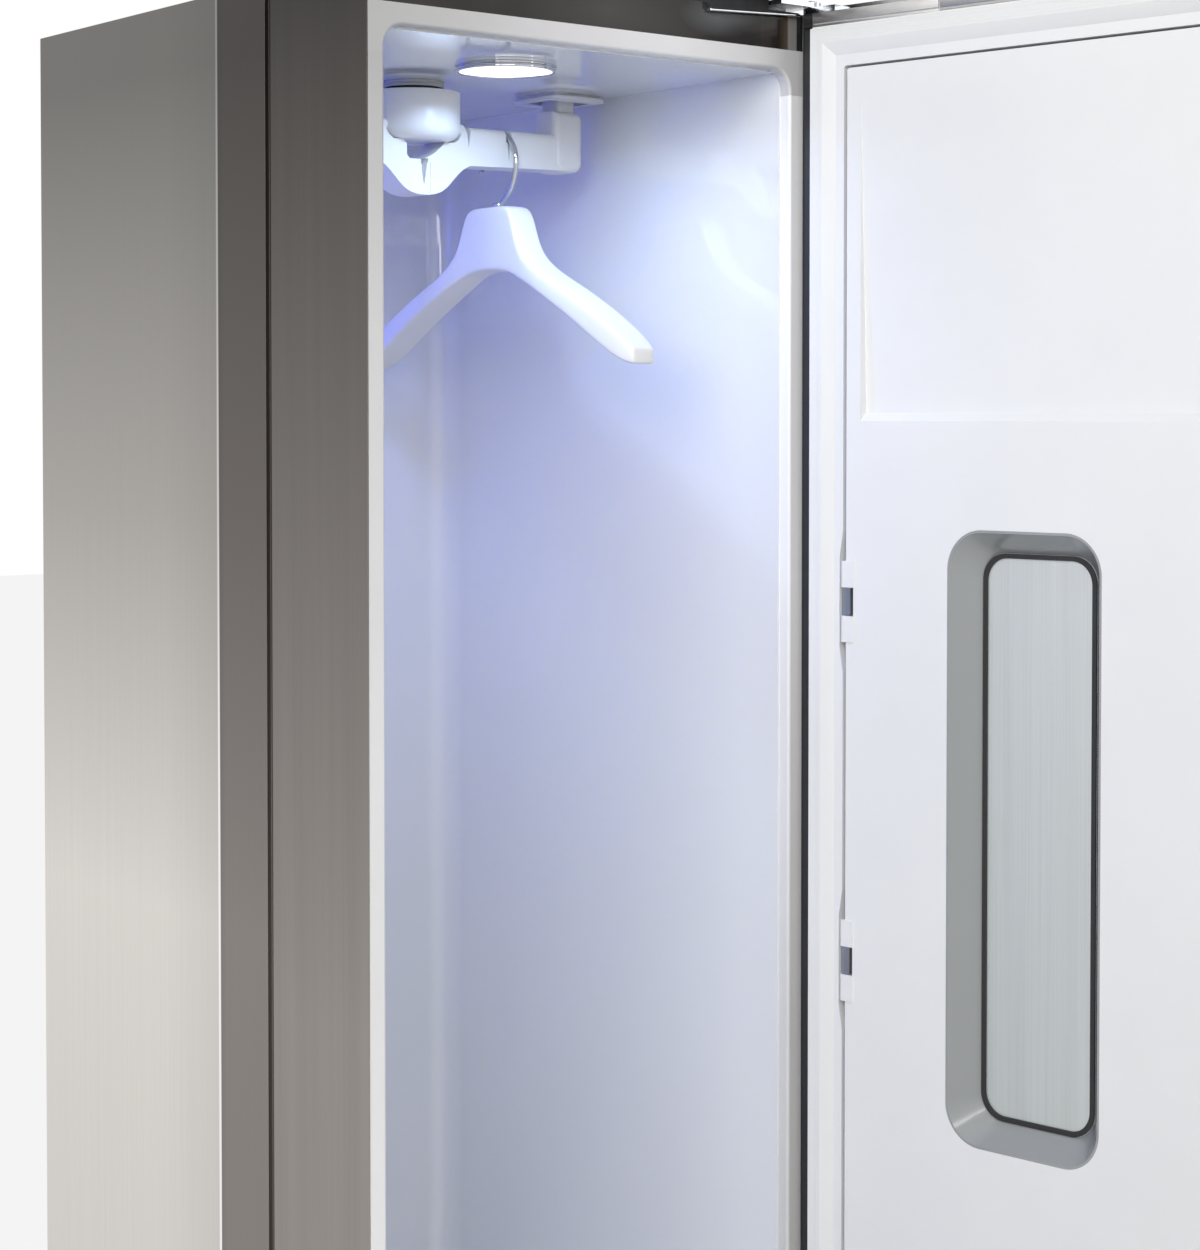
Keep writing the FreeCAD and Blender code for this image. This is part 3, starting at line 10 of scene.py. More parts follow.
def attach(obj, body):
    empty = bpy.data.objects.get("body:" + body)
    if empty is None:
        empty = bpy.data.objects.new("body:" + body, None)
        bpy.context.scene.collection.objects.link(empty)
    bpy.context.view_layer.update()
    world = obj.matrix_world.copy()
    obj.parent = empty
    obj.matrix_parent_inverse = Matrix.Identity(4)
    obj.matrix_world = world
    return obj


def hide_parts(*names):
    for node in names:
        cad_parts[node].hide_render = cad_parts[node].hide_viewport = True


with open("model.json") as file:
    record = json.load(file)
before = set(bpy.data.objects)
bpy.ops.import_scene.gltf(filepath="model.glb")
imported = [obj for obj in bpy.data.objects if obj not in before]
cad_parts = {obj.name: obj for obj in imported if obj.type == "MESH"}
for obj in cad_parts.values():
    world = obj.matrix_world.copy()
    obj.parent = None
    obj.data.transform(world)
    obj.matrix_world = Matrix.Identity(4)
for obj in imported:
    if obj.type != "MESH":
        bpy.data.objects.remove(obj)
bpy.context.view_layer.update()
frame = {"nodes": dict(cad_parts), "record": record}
nodes = frame["nodes"]

# ---- Sizes and places, in metres ----

HALF_WIDTH = 0.2225
CABINET_TOP = 1.85
FRONT_Y = -0.265
CEILING_Z = 1.779
BAR_Y = -0.005
HINGE = Vector((0.2185, -0.2795, 0.0))
DOOR_ANGLE = math.radians(98)
DOOR_FACE_Y = -0.272
CLOSE = 0.0001  # places nearer to each other than this are one place
FACING = 0.9  # what looks or runs along an axis by at least this share counts as along it

HANGER_X = 0.092
FERRULE_Z = 1.6757
FERRULE_RADIUS = 0.0042
FERRULE_WIRE = 0.0015
FERRULE_RISE = 0.0016
# Sections of a hanger's shoulder: reach from the middle, top, underside and thickness
HANGER_NECK = (0.012, 1.6747, 1.6170, 0.0270)
HANGER_SECTIONS = [
    (0.024, 1.6747, 1.6155, 0.0270), (0.031, 1.6722, 1.6140, 0.0275),
    (0.036, 1.6630, 1.6125, 0.0280), (0.040, 1.6510, 1.6110, 0.0285),
    (0.046, 1.6375, 1.6080, 0.0295), (0.055, 1.6270, 1.6045, 0.0310),
    (0.068, 1.6180, 1.5990, 0.0330), (0.086, 1.6090, 1.5900, 0.0340),
    (0.118, 1.5950, 1.5740, 0.0340), (0.160, 1.5730, 1.5490, 0.0340),
    (0.190, 1.5545, 1.5330, 0.0320), (0.205, 1.5440, 1.5300, 0.0240)]

COLLAR_RADIUS = 0.0266
COLLAR_DROP = 0.0052
COLLAR_GROOVE = (0.0024, 0.0031)  # from its underside up
COLLAR_SIDES = 96
# A black ring under the collar: painted shade standing in for the shadow gap above the drive cup's
# rim
COLLAR_SHADOW_THICK = 0.0032
LAMP_Y = -0.1395
LAMP_RADIUS = 0.0425
LAMP_DROP = 0.0050
LAMP_GROOVE = (0.0026, 0.0032)  # from its underside up
LAMP_RIM = 0.0033
LAMP_SIDES = 160

SEAL_HALF = 0.2106
SEAL_LOW, SEAL_HIGH = 0.049, 1.812
SEAL_CROWN = 0.0056
SEAL_WIDTH = 0.024
SEAL_FLAT = 0.0125  # the outer part of its width, before the slope
# Folds of the door's seal from the outside in: how far in, and how much up or down
SEAL_FOLDS = [(0.0042, 0.0), (0.0012, -0.0004), (0.0016, 0.0004), (0.0012, -0.0004)]

RAIL_DEPTH = 0.055
RAIL_HEIGHT = 0.012
RAIL_CORNER = 0.006
RAIL_JOINT_X = 0.0825
RAIL_LINE_HALF = 0.0005
RAIL_LINE_DEPTH = 0.0012

# The bright lip of the hinge cover, and how much its right end rises
COVER_LIP_LOW, COVER_LIP_HIGH = (0.1115, -0.2718, 1.8203), (0.2120, -0.2660, 1.8226)
COVER_LIP_RISE = 0.0046
# The black lip beside the hinges, and how far its nose reaches forward
SIDE_LIP_LOW, SIDE_LIP_HIGH = (0.2218, -0.2684, 0.060), (HALF_WIDTH, -0.2648, 1.826)
SIDE_LIP_NOSE = 0.0006

# CAD nodes whose edges are rounded a little, and by how much
SOFT_EDGES = [("hanger_bar", 0.0008), ("drive_cup", 0.0006), ("left_front_cladding", 0.0006),
              ("right_front_cladding", 0.0006), ("left_side_panel", 0.0006),
              ("right_side_panel", 0.0006), ("supply_tank_lid", 0.0006),
              ("drain_tank_lid", 0.0006)]

# ---- Camera and light ----

EYE = (-1.2795, -1.854, 1.488)
LENS_MM = 73.44
SENSOR_MM = 36
YAW = math.radians(38.84)
PITCH = math.radians(-1.57)
VIEW_SHIFT = -0.112
FLOOR_SIZE = 40
FLOOR_Z = -0.0005
WORLD_COLOR = (0.93, 0.95, 1.0)
WORLD_STRENGTH = 0.13
FLOOR_GLOW = 0.88
# Lights of the studio: place, what they look at, size and power
KEY = ((-1.6, -2.6, 2.6), (0, 0, 1.2), 1.8, 44)
SIDE_KEY = ((-1.9, -1.1, 2.3), (0.2, -0.4, 1.3), 1.2, 27)
FILL = ((1.8, -2.4, 1.6), (0, 0, 1.0), 1.6, 14)
# The cabinet's own lamps: the same, then the colour
CABINET_LAMP = ((0, LAMP_Y, 1.768), (0, LAMP_Y, 0), 0.035, 0.50, (0.50, 0.69, 1.0))
CABINET_LAMP_SPREAD = math.radians(166)
FRESHENING_LIGHT = ((-0.12, 0.05, 1.765), (-0.19, 0.2, 1.5), 0.05, 0.56, (0.06, 0.09, 1.0))
FRESHENING_SPREAD = math.radians(125)

# ---- Colours and patterns ----

# Nodes with a finish of their own instead of their slot's; some of these finishes carry painted
# light and shade
OWN_FINISH = {"door_skin": "door_steel", "front_bezel_lower": "frame_side_painted_light",
              "front_bezel_top": "frame_top_painted_light", "right_front_cladding": "cladding_steel"}

# Dark steel up high and low down: a painted reflection, darker at the top and lighter towards the
# floor
DARK_STEEL_PAINTED_TOP = (0.040, 0.036, 0.034)
DARK_STEEL_PAINTED_LOW = (0.31, 0.285, 0.265)
EDGE_BLACK = (0.02, 0.02, 0.021)
EDGE_START = 0.004
EDGE_STRIP = 0.0103
EDGE_DEPTH = 0.009
EDGE_FADE = 0.0002
FRONT_PAINT = (0.46, 0.46, 0.46)
FRONT_PAINT_DEPTH = 0.0003

SIDE_BACK = (0.46, 0.44, 0.415)
# Tones of the side panel: from in front of its seam to behind it, with a painted highlight as a
# bright line, and a painted reflection from the floor up
SIDE_DEPTH_Y = (-0.057, 0.143)
SIDE_DEPTH = [(0.0, (0.158, 0.142, 0.133)), (0.043, (0.13588, 0.12212, 0.11438)),
              (0.050, (0.80, 0.79, 0.78)), (0.056, (0.80, 0.79, 0.78)),
              (0.064, (0.414, 0.396, 0.3735)), (0.5, SIDE_BACK)]
# Painted reflection: the sheet lighter low down and darker up high
SIDE_PAINTED_REFLECTION = [(0.3, (0.82,) * 3), (0.58, (0.92,) * 3), (0.76, (0.50,) * 3), (0.96, (0.20,) * 3)]
SIDE_REFLECTION_LIFT = (1.8, 1.8, 1.8)

HEADER_BLACK = (0.012, 0.010, 0.009)
# Cloudy places on the header: middle, reach and colour
HEADER_CLOUDS = [((0.010, -0.265, 1.812), 0.036, (0.046, 0.045, 0.040)),
                 ((0.125, -0.265, 1.817), 0.017, (0.085, 0.090, 0.092)),
                 ((0.158, -0.265, 1.806), 0.012, (0.004, 0.004, 0.004))]
# A painted reflection of the door's border on the header's right end: how it fades in, where it
# lies and its tones
HEADER_REFLECTION_FADE_X = (0.1722, 0.1728)
HEADER_REFLECTION_X = (0.1725, 0.2152)
HEADER_REFLECTION = [(0.0, HEADER_BLACK), (0.02, (0.022, 0.018, 0.016)), (0.50, (0.020, 0.016, 0.014)),
              (0.52, (0.030, 0.022, 0.016)), (0.73, (0.085, 0.066, 0.050)),
              (0.75, (0.24, 0.225, 0.21)), (0.97, (0.21, 0.20, 0.19)), (0.98, (0.02, 0.02, 0.02))]

FRAME_PALE = (0.72, 0.71, 0.705)
FRAME_ROUGHNESS = 0.42
# Painted light and shade on the frame round the opening: its strips from low to high, its top from
# the left
STRIP_Z = (0.8, 1.8)
MIDDLE_X = (-0.05, 0.05)
TOP_X = (-0.21, 0.21)
LEFT_STRIP_PAINTED_LIGHT = [(0.0, (0.92, 0.915, 0.91)), (0.40, (0.80, 0.79, 0.785)),
              (0.75, (0.63, 0.62, 0.615)), (1.0, (0.38, 0.375, 0.37))]
# The right strip's darker bottom is the open door's painted shadow
RIGHT_STRIP_PAINTED_SHADE = [(0.0, (0.66, 0.65, 0.64)), (0.3, (0.76, 0.75, 0.74)),
               (0.55, (0.90, 0.89, 0.88)), (1.0, (0.93, 0.92, 0.91))]
TOP_STRIP_PAINTED_LIGHT = [(0.0, (0.44, 0.435, 0.43)), (0.15, (0.49, 0.485, 0.48)), (0.40, (0.68, 0.67, 0.68)),
             (0.70, (0.84, 0.835, 0.84)), (0.88, (0.72, 0.71, 0.71)), (0.97, (0.61, 0.60, 0.60))]

PATTERN_LOW, PATTERN_HIGH = 0.3, 0.7  # the values between which most of a noise lies
DRIFT_SCALE = 6.0
GLOSS_SCALE = 25.0
SKIN_SCALE = 900.0
SKIN_DEPTH = 0.0002
UPRIGHT_LINES = (1800, 1800, 3.0)
UPRIGHT_CLOUDS = (60, 60, 1.2)
LEVEL_LINES = (90, 90, 2600)
WIPE_MARKS = (40, 260, 260)
HEADER_HAZE = (11, 11, 16)
BRUSH_BUMP = 0.12
BRUSH_DEPTH = 0.0003
MIX_FACTOR, MIX_A, MIX_B, MIX_RESULT = 0, 6, 7, 2  # a Mix node's sockets for colours

ACROSS = (1, 0, 0)
BACKWARD = (0, 1, 0)
UP = (0, 0, 1)


def make_camera():
    """The camera at standing eye height, to the left of the open cabinet."""
    data = bpy.data.cameras.new("camera")
    data.sensor_fit = "VERTICAL"
    data.sensor_height = SENSOR_MM
    data.lens = LENS_MM
    data.shift_y = VIEW_SHIFT
    data.clip_end = 50
    camera = bpy.data.objects.new("camera", data)
    camera.location = EYE
    camera.rotation_euler = (math.pi / 2 + PITCH, 0, -YAW)
    bpy.context.scene.collection.objects.link(camera)
    bpy.context.scene.camera = camera


# ---- Material building blocks ----

def shade(color, factor):
    """A colour made darker or lighter."""
    return tuple(min(1.0, c * factor) for c in color)


def feed(tree, socket, value):
    """Wires an output to a socket, or sets the socket to a number or a colour."""
    if hasattr(value, "links"):
        tree.links.new(value, socket)
    elif isinstance(value, tuple):
        socket.default_value = (*value, 1.0)
    else:
        socket.default_value = value


def calculate(tree, operation, *values):
    """The result of a Math node on outputs or numbers."""
    node = tree.nodes.new("ShaderNodeMath")
    node.operation = operation
    for socket, value in zip(node.inputs, values):
        feed(tree, socket, value)
    return node.outputs[0]


class Surface:
    """A material being built: its node tree, its shader and its object coordinates."""

    def __init__(self, name, color, roughness, metallic=0.0):
        self.name = name
        self.material = bpy.data.materials.new(name)
        self.material.use_nodes = True
        self.tree = self.material.node_tree
        self.shader = self.tree.nodes["Principled BSDF"]
        self.set("Base Color", (*color, 1.0))
        self.set("Roughness", roughness)
        self.set("Metallic", metallic)
        self.coords = self.tree.nodes.new("ShaderNodeTexCoord").outputs["Object"]

    def set(self, socket, value):
        """A uniform value on the shader."""
        self.shader.inputs[socket].default_value = value

    def add(self, kind, **values):
        """A node with its inputs set by name."""
        node = self.tree.nodes.new(kind)
        for name, value in values.items():
            node.inputs[name.replace("_", " ")].default_value = value
        return node

    def link(self, a, b):
        """A wire between two sockets."""
        self.tree.links.new(a, b)

    def stretched(self, scale):
        """Object coordinates stretched by a scale for each axis."""
        node = self.add("ShaderNodeMapping", Scale=scale)
        self.link(self.coords, node.inputs["Vector"])
        return node.outputs["Vector"]

    def noise(self, scale, detail=3.0, roughness=0.55, stretch=(1, 1, 1)):
        """A noise pattern."""
        node = self.add("ShaderNodeTexNoise", Scale=scale, Detail=detail, Roughness=roughness)
        self.link(self.stretched(stretch), node.inputs["Vector"])
        return node.outputs["Fac"]

    def ramp(self, value, stops):
        """Colours along a value."""
        node = self.tree.nodes.new("ShaderNodeValToRGB")
        elements = node.color_ramp.elements
        while len(elements) < len(stops):
            elements.new(0.5)
        for element, (place, color) in zip(elements, stops):
            element.position = place
            element.color = (*color, 1.0)
        self.link(value, node.inputs["Fac"])
        return node.outputs["Color"]

    def grain(self, pattern, amount):
        """Greys round one that darken and lighten what they multiply."""
        return self.ramp(pattern, [(PATTERN_LOW, (1 - amount,) * 3),
                                   (PATTERN_HIGH, (1 + amount,) * 3)])

    def spread(self, value, low, high, from_low=PATTERN_LOW, from_high=PATTERN_HIGH):
        """A value stretched between two limits."""
        node = self.add("ShaderNodeMapRange", From_Min=from_low, From_Max=from_high,
                        To_Min=low, To_Max=high)
        self.link(value, node.inputs["Value"])
        return node.outputs["Result"]

    def measured(self, operation, vector, fixed):
        """The number that a vector and a fixed one give."""
        node = self.tree.nodes.new("ShaderNodeVectorMath")
        node.operation = operation
        self.link(vector, node.inputs[0])
        node.inputs[1].default_value = fixed
        return node.outputs["Value"]

    def along(self, direction, start, end):
        """From 0 at a start to 1 at an end, in a direction."""
        return self.spread(self.measured("DOT_PRODUCT", self.coords, direction), 0, 1, start, end)

    def near(self, place, reach):
        """From 1 at a place down to 0 at a distance from it, wider than it is high."""
        squeeze = (0.4, 0.4, 1.0)
        middle = [at * factor for at, factor in zip(place, squeeze)]
        gap = self.measured("DISTANCE", self.stretched(squeeze), middle)
        return self.spread(gap, 1, 0, 0, reach)

    def mix(self, factor, a, b, mode="MIX"):
        """Two colours mixed."""
        node = self.tree.nodes.new("ShaderNodeMix")
        node.data_type = "RGBA"
        node.blend_type = mode
        for place, value in ((MIX_FACTOR, factor), (MIX_A, a), (MIX_B, b)):
            feed(self.tree, node.inputs[place], value)
        return node.outputs[MIX_RESULT]

    def times(self, a, b):
        """Two colours multiplied."""
        return self.mix(1.0, a, b, "MULTIPLY")

    def color(self, value):
        """Wires a colour to the shader."""
        self.link(value, self.shader.inputs["Base Color"])

    def drift(self, pattern, color, low, high):
        """Wires a colour that a pattern makes a little darker or lighter."""
        self.color(self.ramp(pattern, [(PATTERN_LOW, shade(color, low)),
                                       (PATTERN_HIGH, shade(color, high))]))

    def roughness(self, pattern, low, high):
        """Wires a varying roughness to the shader."""
        self.link(self.spread(pattern, low, high), self.shader.inputs["Roughness"])

    def bump(self, pattern, strength, distance):
        """Wires a height pattern to the shader's normal."""
        node = self.add("ShaderNodeBump", Strength=strength, Distance=distance)
        self.link(pattern, node.inputs["Height"])
        self.link(node.outputs["Normal"], self.shader.inputs["Normal"])

    def painted(self, bare, color):
        """Paints the steel where a value is nought."""
        steel = self.shader.inputs["Base Color"].links[0].from_socket
        self.color(self.mix(bare, color, steel))
        self.link(bare, self.shader.inputs["Metallic"])


# ---- Finishes ----

def black_edge(s):
    """Turns the strip of the open door that is next to its hinges black."""
    across = Vector((-math.cos(DOOR_ANGLE), -math.sin(DOOR_ANGLE), 0))
    inward = Vector((-math.sin(DOOR_ANGLE), math.cos(DOOR_ANGLE), 0))
    corner = HINGE + (Matrix.Rotation(DOOR_ANGLE, 4, "Z")
                      @ Vector((EDGE_START, DOOR_FACE_Y - HINGE.y, 0)))
    strip_end = corner.dot(across) + EDGE_STRIP
    face_start = corner.dot(inward) - EDGE_DEPTH
    past_strip = s.along(across, strip_end, strip_end + EDGE_FADE)
    near_face = s.along(inward, face_start, face_start + EDGE_FADE)
    deeper = calculate(s.tree, "SUBTRACT", 1.0, near_face)
    s.painted(calculate(s.tree, "MULTIPLY_ADD", past_strip, near_face, deeper), EDGE_BLACK)


def brush_marks(s, lines, roughness):
    """The uneven gloss and the fine relief that brushing leaves."""
    s.roughness(lines, roughness - 0.05, roughness + 0.07)
    s.bump(lines, BRUSH_BUMP, BRUSH_DEPTH)


def brushed(name, top, low, roughness, metallic=1.0, grain=0.10, z0=0.0, z1=CABINET_TOP):
    """Steel with fine upright brushing, in one colour up high and another down low."""
    s = Surface(name, top, roughness, metallic)
    lines = s.noise(1.0, 6.0, 0.7, stretch=UPRIGHT_LINES)
    clouds = s.noise(1.0, 3.0, 0.6, stretch=UPRIGHT_CLOUDS)
    tall = s.ramp(s.along(UP, z0, z1), [(0, low), (1, top)])
    s.color(s.times(s.times(tall, s.grain(lines, grain)), s.grain(clouds, grain / 2)))
    brush_marks(s, lines, roughness)
    return s


def dark_steel(name):
    """The dark satin steel of the cabinet's front and of the door, with a painted reflection that
    makes it lighter low down.
    """
    return brushed(name, DARK_STEEL_PAINTED_TOP, DARK_STEEL_PAINTED_LOW, 0.40, z0=1.02, z1=1.83)


def door_steel(name):
    """Dark steel that turns black next to the door's hinges."""
    s = dark_steel(name)
    black_edge(s)
    return s


def cladding_steel(name):
    """Dark steel with its foremost edge painted grey."""
    s = dark_steel(name)
    start = FRONT_Y + FRONT_PAINT_DEPTH
    s.painted(s.along(BACKWARD, start, start + FRONT_PAINT_DEPTH), FRONT_PAINT)
    return s


def trim_steel(name, color, roughness):
    """Steel trim of the door with brushing that runs along it."""
    s = Surface(name, color, roughness, 1.0)
    lines = s.noise(1.0, 5.0, 0.7, stretch=LEVEL_LINES)
    s.drift(lines, color, 0.88, 1.12)
    brush_marks(s, lines, roughness)
    black_edge(s)
    return s


def side_steel(name):
    """The side panel's sheet: darker in front of the seam, a painted highlight as a bright upright
    line, paler behind, and a painted reflection that is lighter low down.
    """
    s = Surface(name, SIDE_BACK, 0.36, 1.0)
    across = s.ramp(s.along(BACKWARD, *SIDE_DEPTH_Y), SIDE_DEPTH)
    # Painted reflection by height: lighter low down, darker up high
    tall = s.times(s.ramp(s.along(UP, 0.0, CABINET_TOP), SIDE_PAINTED_REFLECTION), SIDE_REFLECTION_LIFT)
    lines = s.noise(1.0, 6.0, 0.7, stretch=UPRIGHT_LINES)
    s.color(s.times(s.times(across, s.grain(lines, 0.07)), tall))
    s.roughness(lines, 0.32, 0.42)
    s.bump(lines, BRUSH_BUMP, BRUSH_DEPTH)
    return s


def moulded(name, color, roughness, coat=0.0, grain=0.02, bump=0.04, coat_roughness=0.08):
    """Moulded plastic: a faint colour drift, a fine skin and uneven gloss."""
    s = Surface(name, color, roughness)
    s.drift(s.noise(DRIFT_SCALE), color, 1 - grain, 1 + grain)
    s.roughness(s.noise(GLOSS_SCALE, 4.0), max(0.015, roughness - 0.04), roughness * 1.3 + 0.01)
    s.bump(s.noise(SKIN_SCALE, 4.0), bump, SKIN_DEPTH)
    s.set("Coat Weight", coat)
    s.set("Coat Roughness", coat_roughness)
    return s


def frame_moulding(name, tone):
    """Pale satin plastic of the frame round the opening, with light and shade painted into its
    colour for its place.
    """
    s = Surface(name, FRAME_PALE, FRAME_ROUGHNESS)
    s.color(s.times(tone(s), s.grain(s.noise(DRIFT_SCALE), 0.02)))
    s.roughness(s.noise(GLOSS_SCALE, 4.0), FRAME_ROUGHNESS - 0.04, FRAME_ROUGHNESS + 0.05)
    s.bump(s.noise(SKIN_SCALE, 4.0), 0.04, SKIN_DEPTH)
    return s


def frame_strips(name):
    """The frame's two upright strips: the left one painted paler below as painted light, the right
    one paler above, its darker bottom being the open door's painted shadow.
    """
    def tone(s):
        tall = s.along(UP, *STRIP_Z)
        left, right = s.ramp(tall, LEFT_STRIP_PAINTED_LIGHT), s.ramp(tall, RIGHT_STRIP_PAINTED_SHADE)
        return s.mix(s.along(ACROSS, *MIDDLE_X), left, right)
    return frame_moulding(name, tone)


def frame_top_painted_light(name):
    """The frame's top piece, with painted light that is palest right of its middle."""
    return frame_moulding(name, lambda s: s.ramp(s.along(ACROSS, *TOP_X), TOP_STRIP_PAINTED_LIGHT))


def dark_gloss(name, roughness, level):
    """Dark painted panel with a deep shine, cloudy in places, and a painted reflection of the
    door's border on its right end.
    """
    s = Surface(name, HEADER_BLACK, roughness)
    haze = s.noise(1.0, 2.0, 0.5, stretch=HEADER_HAZE)
    tone = s.ramp(haze, [(0.40, HEADER_BLACK), (0.70, shade(HEADER_BLACK, 2.2))])
    for place, reach, cloud in HEADER_CLOUDS:
        tone = s.mix(s.near(place, reach), tone, cloud)
    # The right end: a painted reflection of the door's border
    end = s.ramp(s.along(ACROSS, *HEADER_REFLECTION_X), HEADER_REFLECTION)
    s.color(s.mix(s.along(ACROSS, *HEADER_REFLECTION_FADE_X), tone, end))
    s.roughness(s.noise(18.0, 4.0), roughness - 0.04, roughness + 0.05)
    s.set("Specular IOR Level", level)
    return s


def polished(name, color, roughness):
    """Polished metal with faint wipe marks."""
    s = Surface(name, color, roughness, 1.0)
    wipe = s.noise(1.0, 4.0, stretch=WIPE_MARKS)
    s.drift(wipe, color, 0.94, 1.0)
    s.roughness(wipe, roughness, roughness * 1.5 + 0.02)
    s.bump(wipe, 0.03, SKIN_DEPTH)
    return s


def glow(name, color, strength):
    """A frosted lens with its light behind it."""
    s = Surface(name, color, 0.35)
    frost = s.noise(400.0)
    s.bump(frost, 0.05, SKIN_DEPTH)
    s.drift(frost, color, 0.96, 1.0)
    s.set("Emission Color", (*color, 1.0))
    s.set("Emission Strength", strength)
    return s


def make_materials():
    """Every finish on the cabinet, by its name."""
    finishes = [
        dark_steel("dark_steel"),
        side_steel("pale_steel"),
        brushed("galvanised", (0.42, 0.43, 0.44), (0.42, 0.43, 0.44), 0.45, grain=0.06),
        dark_gloss("header_gloss", 0.14, 0.16),
        trim_steel("trim_steel", (0.56, 0.55, 0.545), 0.36),
        door_steel("door_steel"),
        cladding_steel("cladding_steel"),
        frame_top_painted_light("frame_top_painted_light"),
        frame_strips("frame_side_painted_light"),
        moulded("tub_white", (0.80, 0.815, 0.84), 0.03, coat=0.6, grain=0.01, bump=0.001,
                coat_roughness=0.02),
        moulded("white_plastic", (0.83, 0.83, 0.83), 0.32, coat=0.15),
        moulded("black_plastic", (0.011, 0.011, 0.012), 0.60, bump=0.08),
        moulded("foam", (0.82, 0.80, 0.74), 0.85, bump=0.3),
        polished("polished_steel", (0.45, 0.46, 0.475), 0.12),
        polished("chrome", (0.58, 0.585, 0.60), 0.02),
        moulded("belt_rubber", (0.03, 0.03, 0.03), 0.7, bump=0.2),
        moulded("soft_white", (0.80, 0.80, 0.79), 0.55),
        moulded("window_grey", (0.32, 0.33, 0.33), 0.16, coat=0.5),
        brushed("brushed_plate", (0.66, 0.685, 0.675), (0.60, 0.63, 0.62), 0.34, metallic=0.55,
                grain=0.09, z0=0.9, z1=1.4),
        moulded("seal_black", (0.015, 0.015, 0.016), 0.5),
        moulded("window_black", (0.010, 0.010, 0.012), 0.06, coat=0.8, bump=0.0),
        moulded("tank_smoke", (0.22, 0.25, 0.29), 0.18, coat=0.4),
        moulded("filter_grey", (0.34, 0.36, 0.39), 0.5, bump=0.15),
        moulded("machine_black", (0.03, 0.03, 0.03), 0.4, coat=0.2, bump=0.1),
        polished("fin_alu", (0.72, 0.73, 0.74), 0.3),
        moulded("grey_plastic", (0.28, 0.29, 0.30), 0.5, bump=0.12),
        glow("lens", (0.96, 0.97, 1.0), 1.15),
    ]
    return {finish.name: finish.material for finish in finishes}


def dress(node, finish):
    """Puts one finish on a CAD node."""
    mesh = nodes[node].data
    mesh.materials.clear()
    mesh.materials.append(materials[finish])


# ---- Modelling by hand ----

def alone(piece):
    """Selects one piece and nothing else."""
    bpy.ops.object.select_all(action="DESELECT")
    piece.select_set(True)
    bpy.context.view_layer.objects.active = piece


def blank(name):
    """Names the primitive just added, and puts its place and size into its mesh."""
    bpy.ops.object.transform_apply(location=True, rotation=True, scale=True)
    piece = bpy.context.object
    piece.name = name
    return piece


def block(name, low, high):
    """A cube between two corners, ready to be shaped."""
    bpy.ops.object.select_all(action="DESELECT")
    low, high = Vector(low), Vector(high)
    bpy.ops.mesh.primitive_cube_add(size=1, location=(low + high) / 2)
    bpy.context.object.scale = high - low
    return blank(name)


def disc(name, middle, radius, depth, sides):
    """A round blank on an upright axis, ready to be shaped."""
    bpy.ops.object.select_all(action="DESELECT")
    bpy.ops.mesh.primitive_cylinder_add(vertices=sides, radius=radius, depth=depth,
                                        location=middle)
    return blank(name)


def start_shaping(piece):
    """Goes into edit mode on a piece."""
    alone(piece)
    bpy.ops.object.mode_set(mode="EDIT")


def stop_shaping():
    """Goes back out of edit mode."""
    bpy.ops.object.mode_set(mode="OBJECT")


def pick(piece, faces=None, edges=None):
    """In edit mode, selects the faces or edges that a test accepts by middle and direction."""
    mesh = bmesh.from_edit_mesh(piece.data)
    mesh.select_mode = {"FACE"} if faces else {"EDGE"}
    bpy.context.tool_settings.mesh_select_mode = (False, edges is not None, faces is not None)
    for group in (mesh.faces, mesh.edges, mesh.verts):
        for element in group:
            element.select_set(False)
    if faces:
        found = [face for face in mesh.faces if faces(face.calc_center_median(), face.normal)]
    else:
        found = []
        for edge in mesh.edges:
            a, b = edge.verts[0].co, edge.verts[1].co
            if edges((a + b) / 2, (b - a).normalized()):
                found.append(edge)
    for element in found:
        element.select_set(True)
    bmesh.update_edit_mesh(piece.data)
    if not found:
        raise ValueError("nothing picked on " + piece.name)


def cut(place, normal):
    """In edit mode, cuts the whole piece along a plane and keeps both sides."""
    bpy.ops.mesh.select_all(action="SELECT")
    bpy.ops.mesh.bisect(plane_co=place, plane_no=normal)


def groove_round(piece, low, heights, depth):
    """In edit mode, sinks a groove into a disc's side between two heights over its underside."""
    for height in heights:
        cut((0, 0, low + height), UP)
    middle = low + sum(heights) / 2
    pick(piece, faces=lambda c, n: abs(n.z) < 0.5 and abs(c.z - middle) < 0.0003)
    bpy.ops.mesh.extrude_region_shrink_fatten(TRANSFORM_OT_shrink_fatten={"value": -depth})


def hollow_below(piece, low, wall, depth):
    """In edit mode, sinks the underside of a disc and leaves a wall round it."""
    pick(piece, faces=lambda c, n: n.z < -FACING and c.z < low + CLOSE)
    bpy.ops.mesh.inset(thickness=wall)
    bpy.ops.mesh.extrude_region_move(TRANSFORM_OT_translate={"value": (0, 0, depth)})


def move(piece, step):
    """Moves a piece's mesh, with its object kept at the origin."""
    alone(piece)
    piece.location = step
    bpy.ops.object.transform_apply(location=True, rotation=False, scale=False)


def modify(piece, kind, **settings):
    """Adds a modifier and applies it."""
    alone(piece)
    change = piece.modifiers.new(kind.lower(), kind)
    for key, value in settings.items():
        setattr(change, key, value)
    bpy.ops.object.modifier_apply(modifier=change.name)


def bevel(piece, width, segments, sharper_than):
    """Bevels the edges of a piece that are sharper than an angle in degrees."""
    modify(piece, "BEVEL", width=width, segments=segments, limit_method="ANGLE",
           angle_limit=math.radians(sharper_than))


def smooth(angle):
    """Smooths the shading over edges that are blunter than an angle in degrees."""
    bpy.ops.object.shade_smooth_by_angle(angle=math.radians(angle))


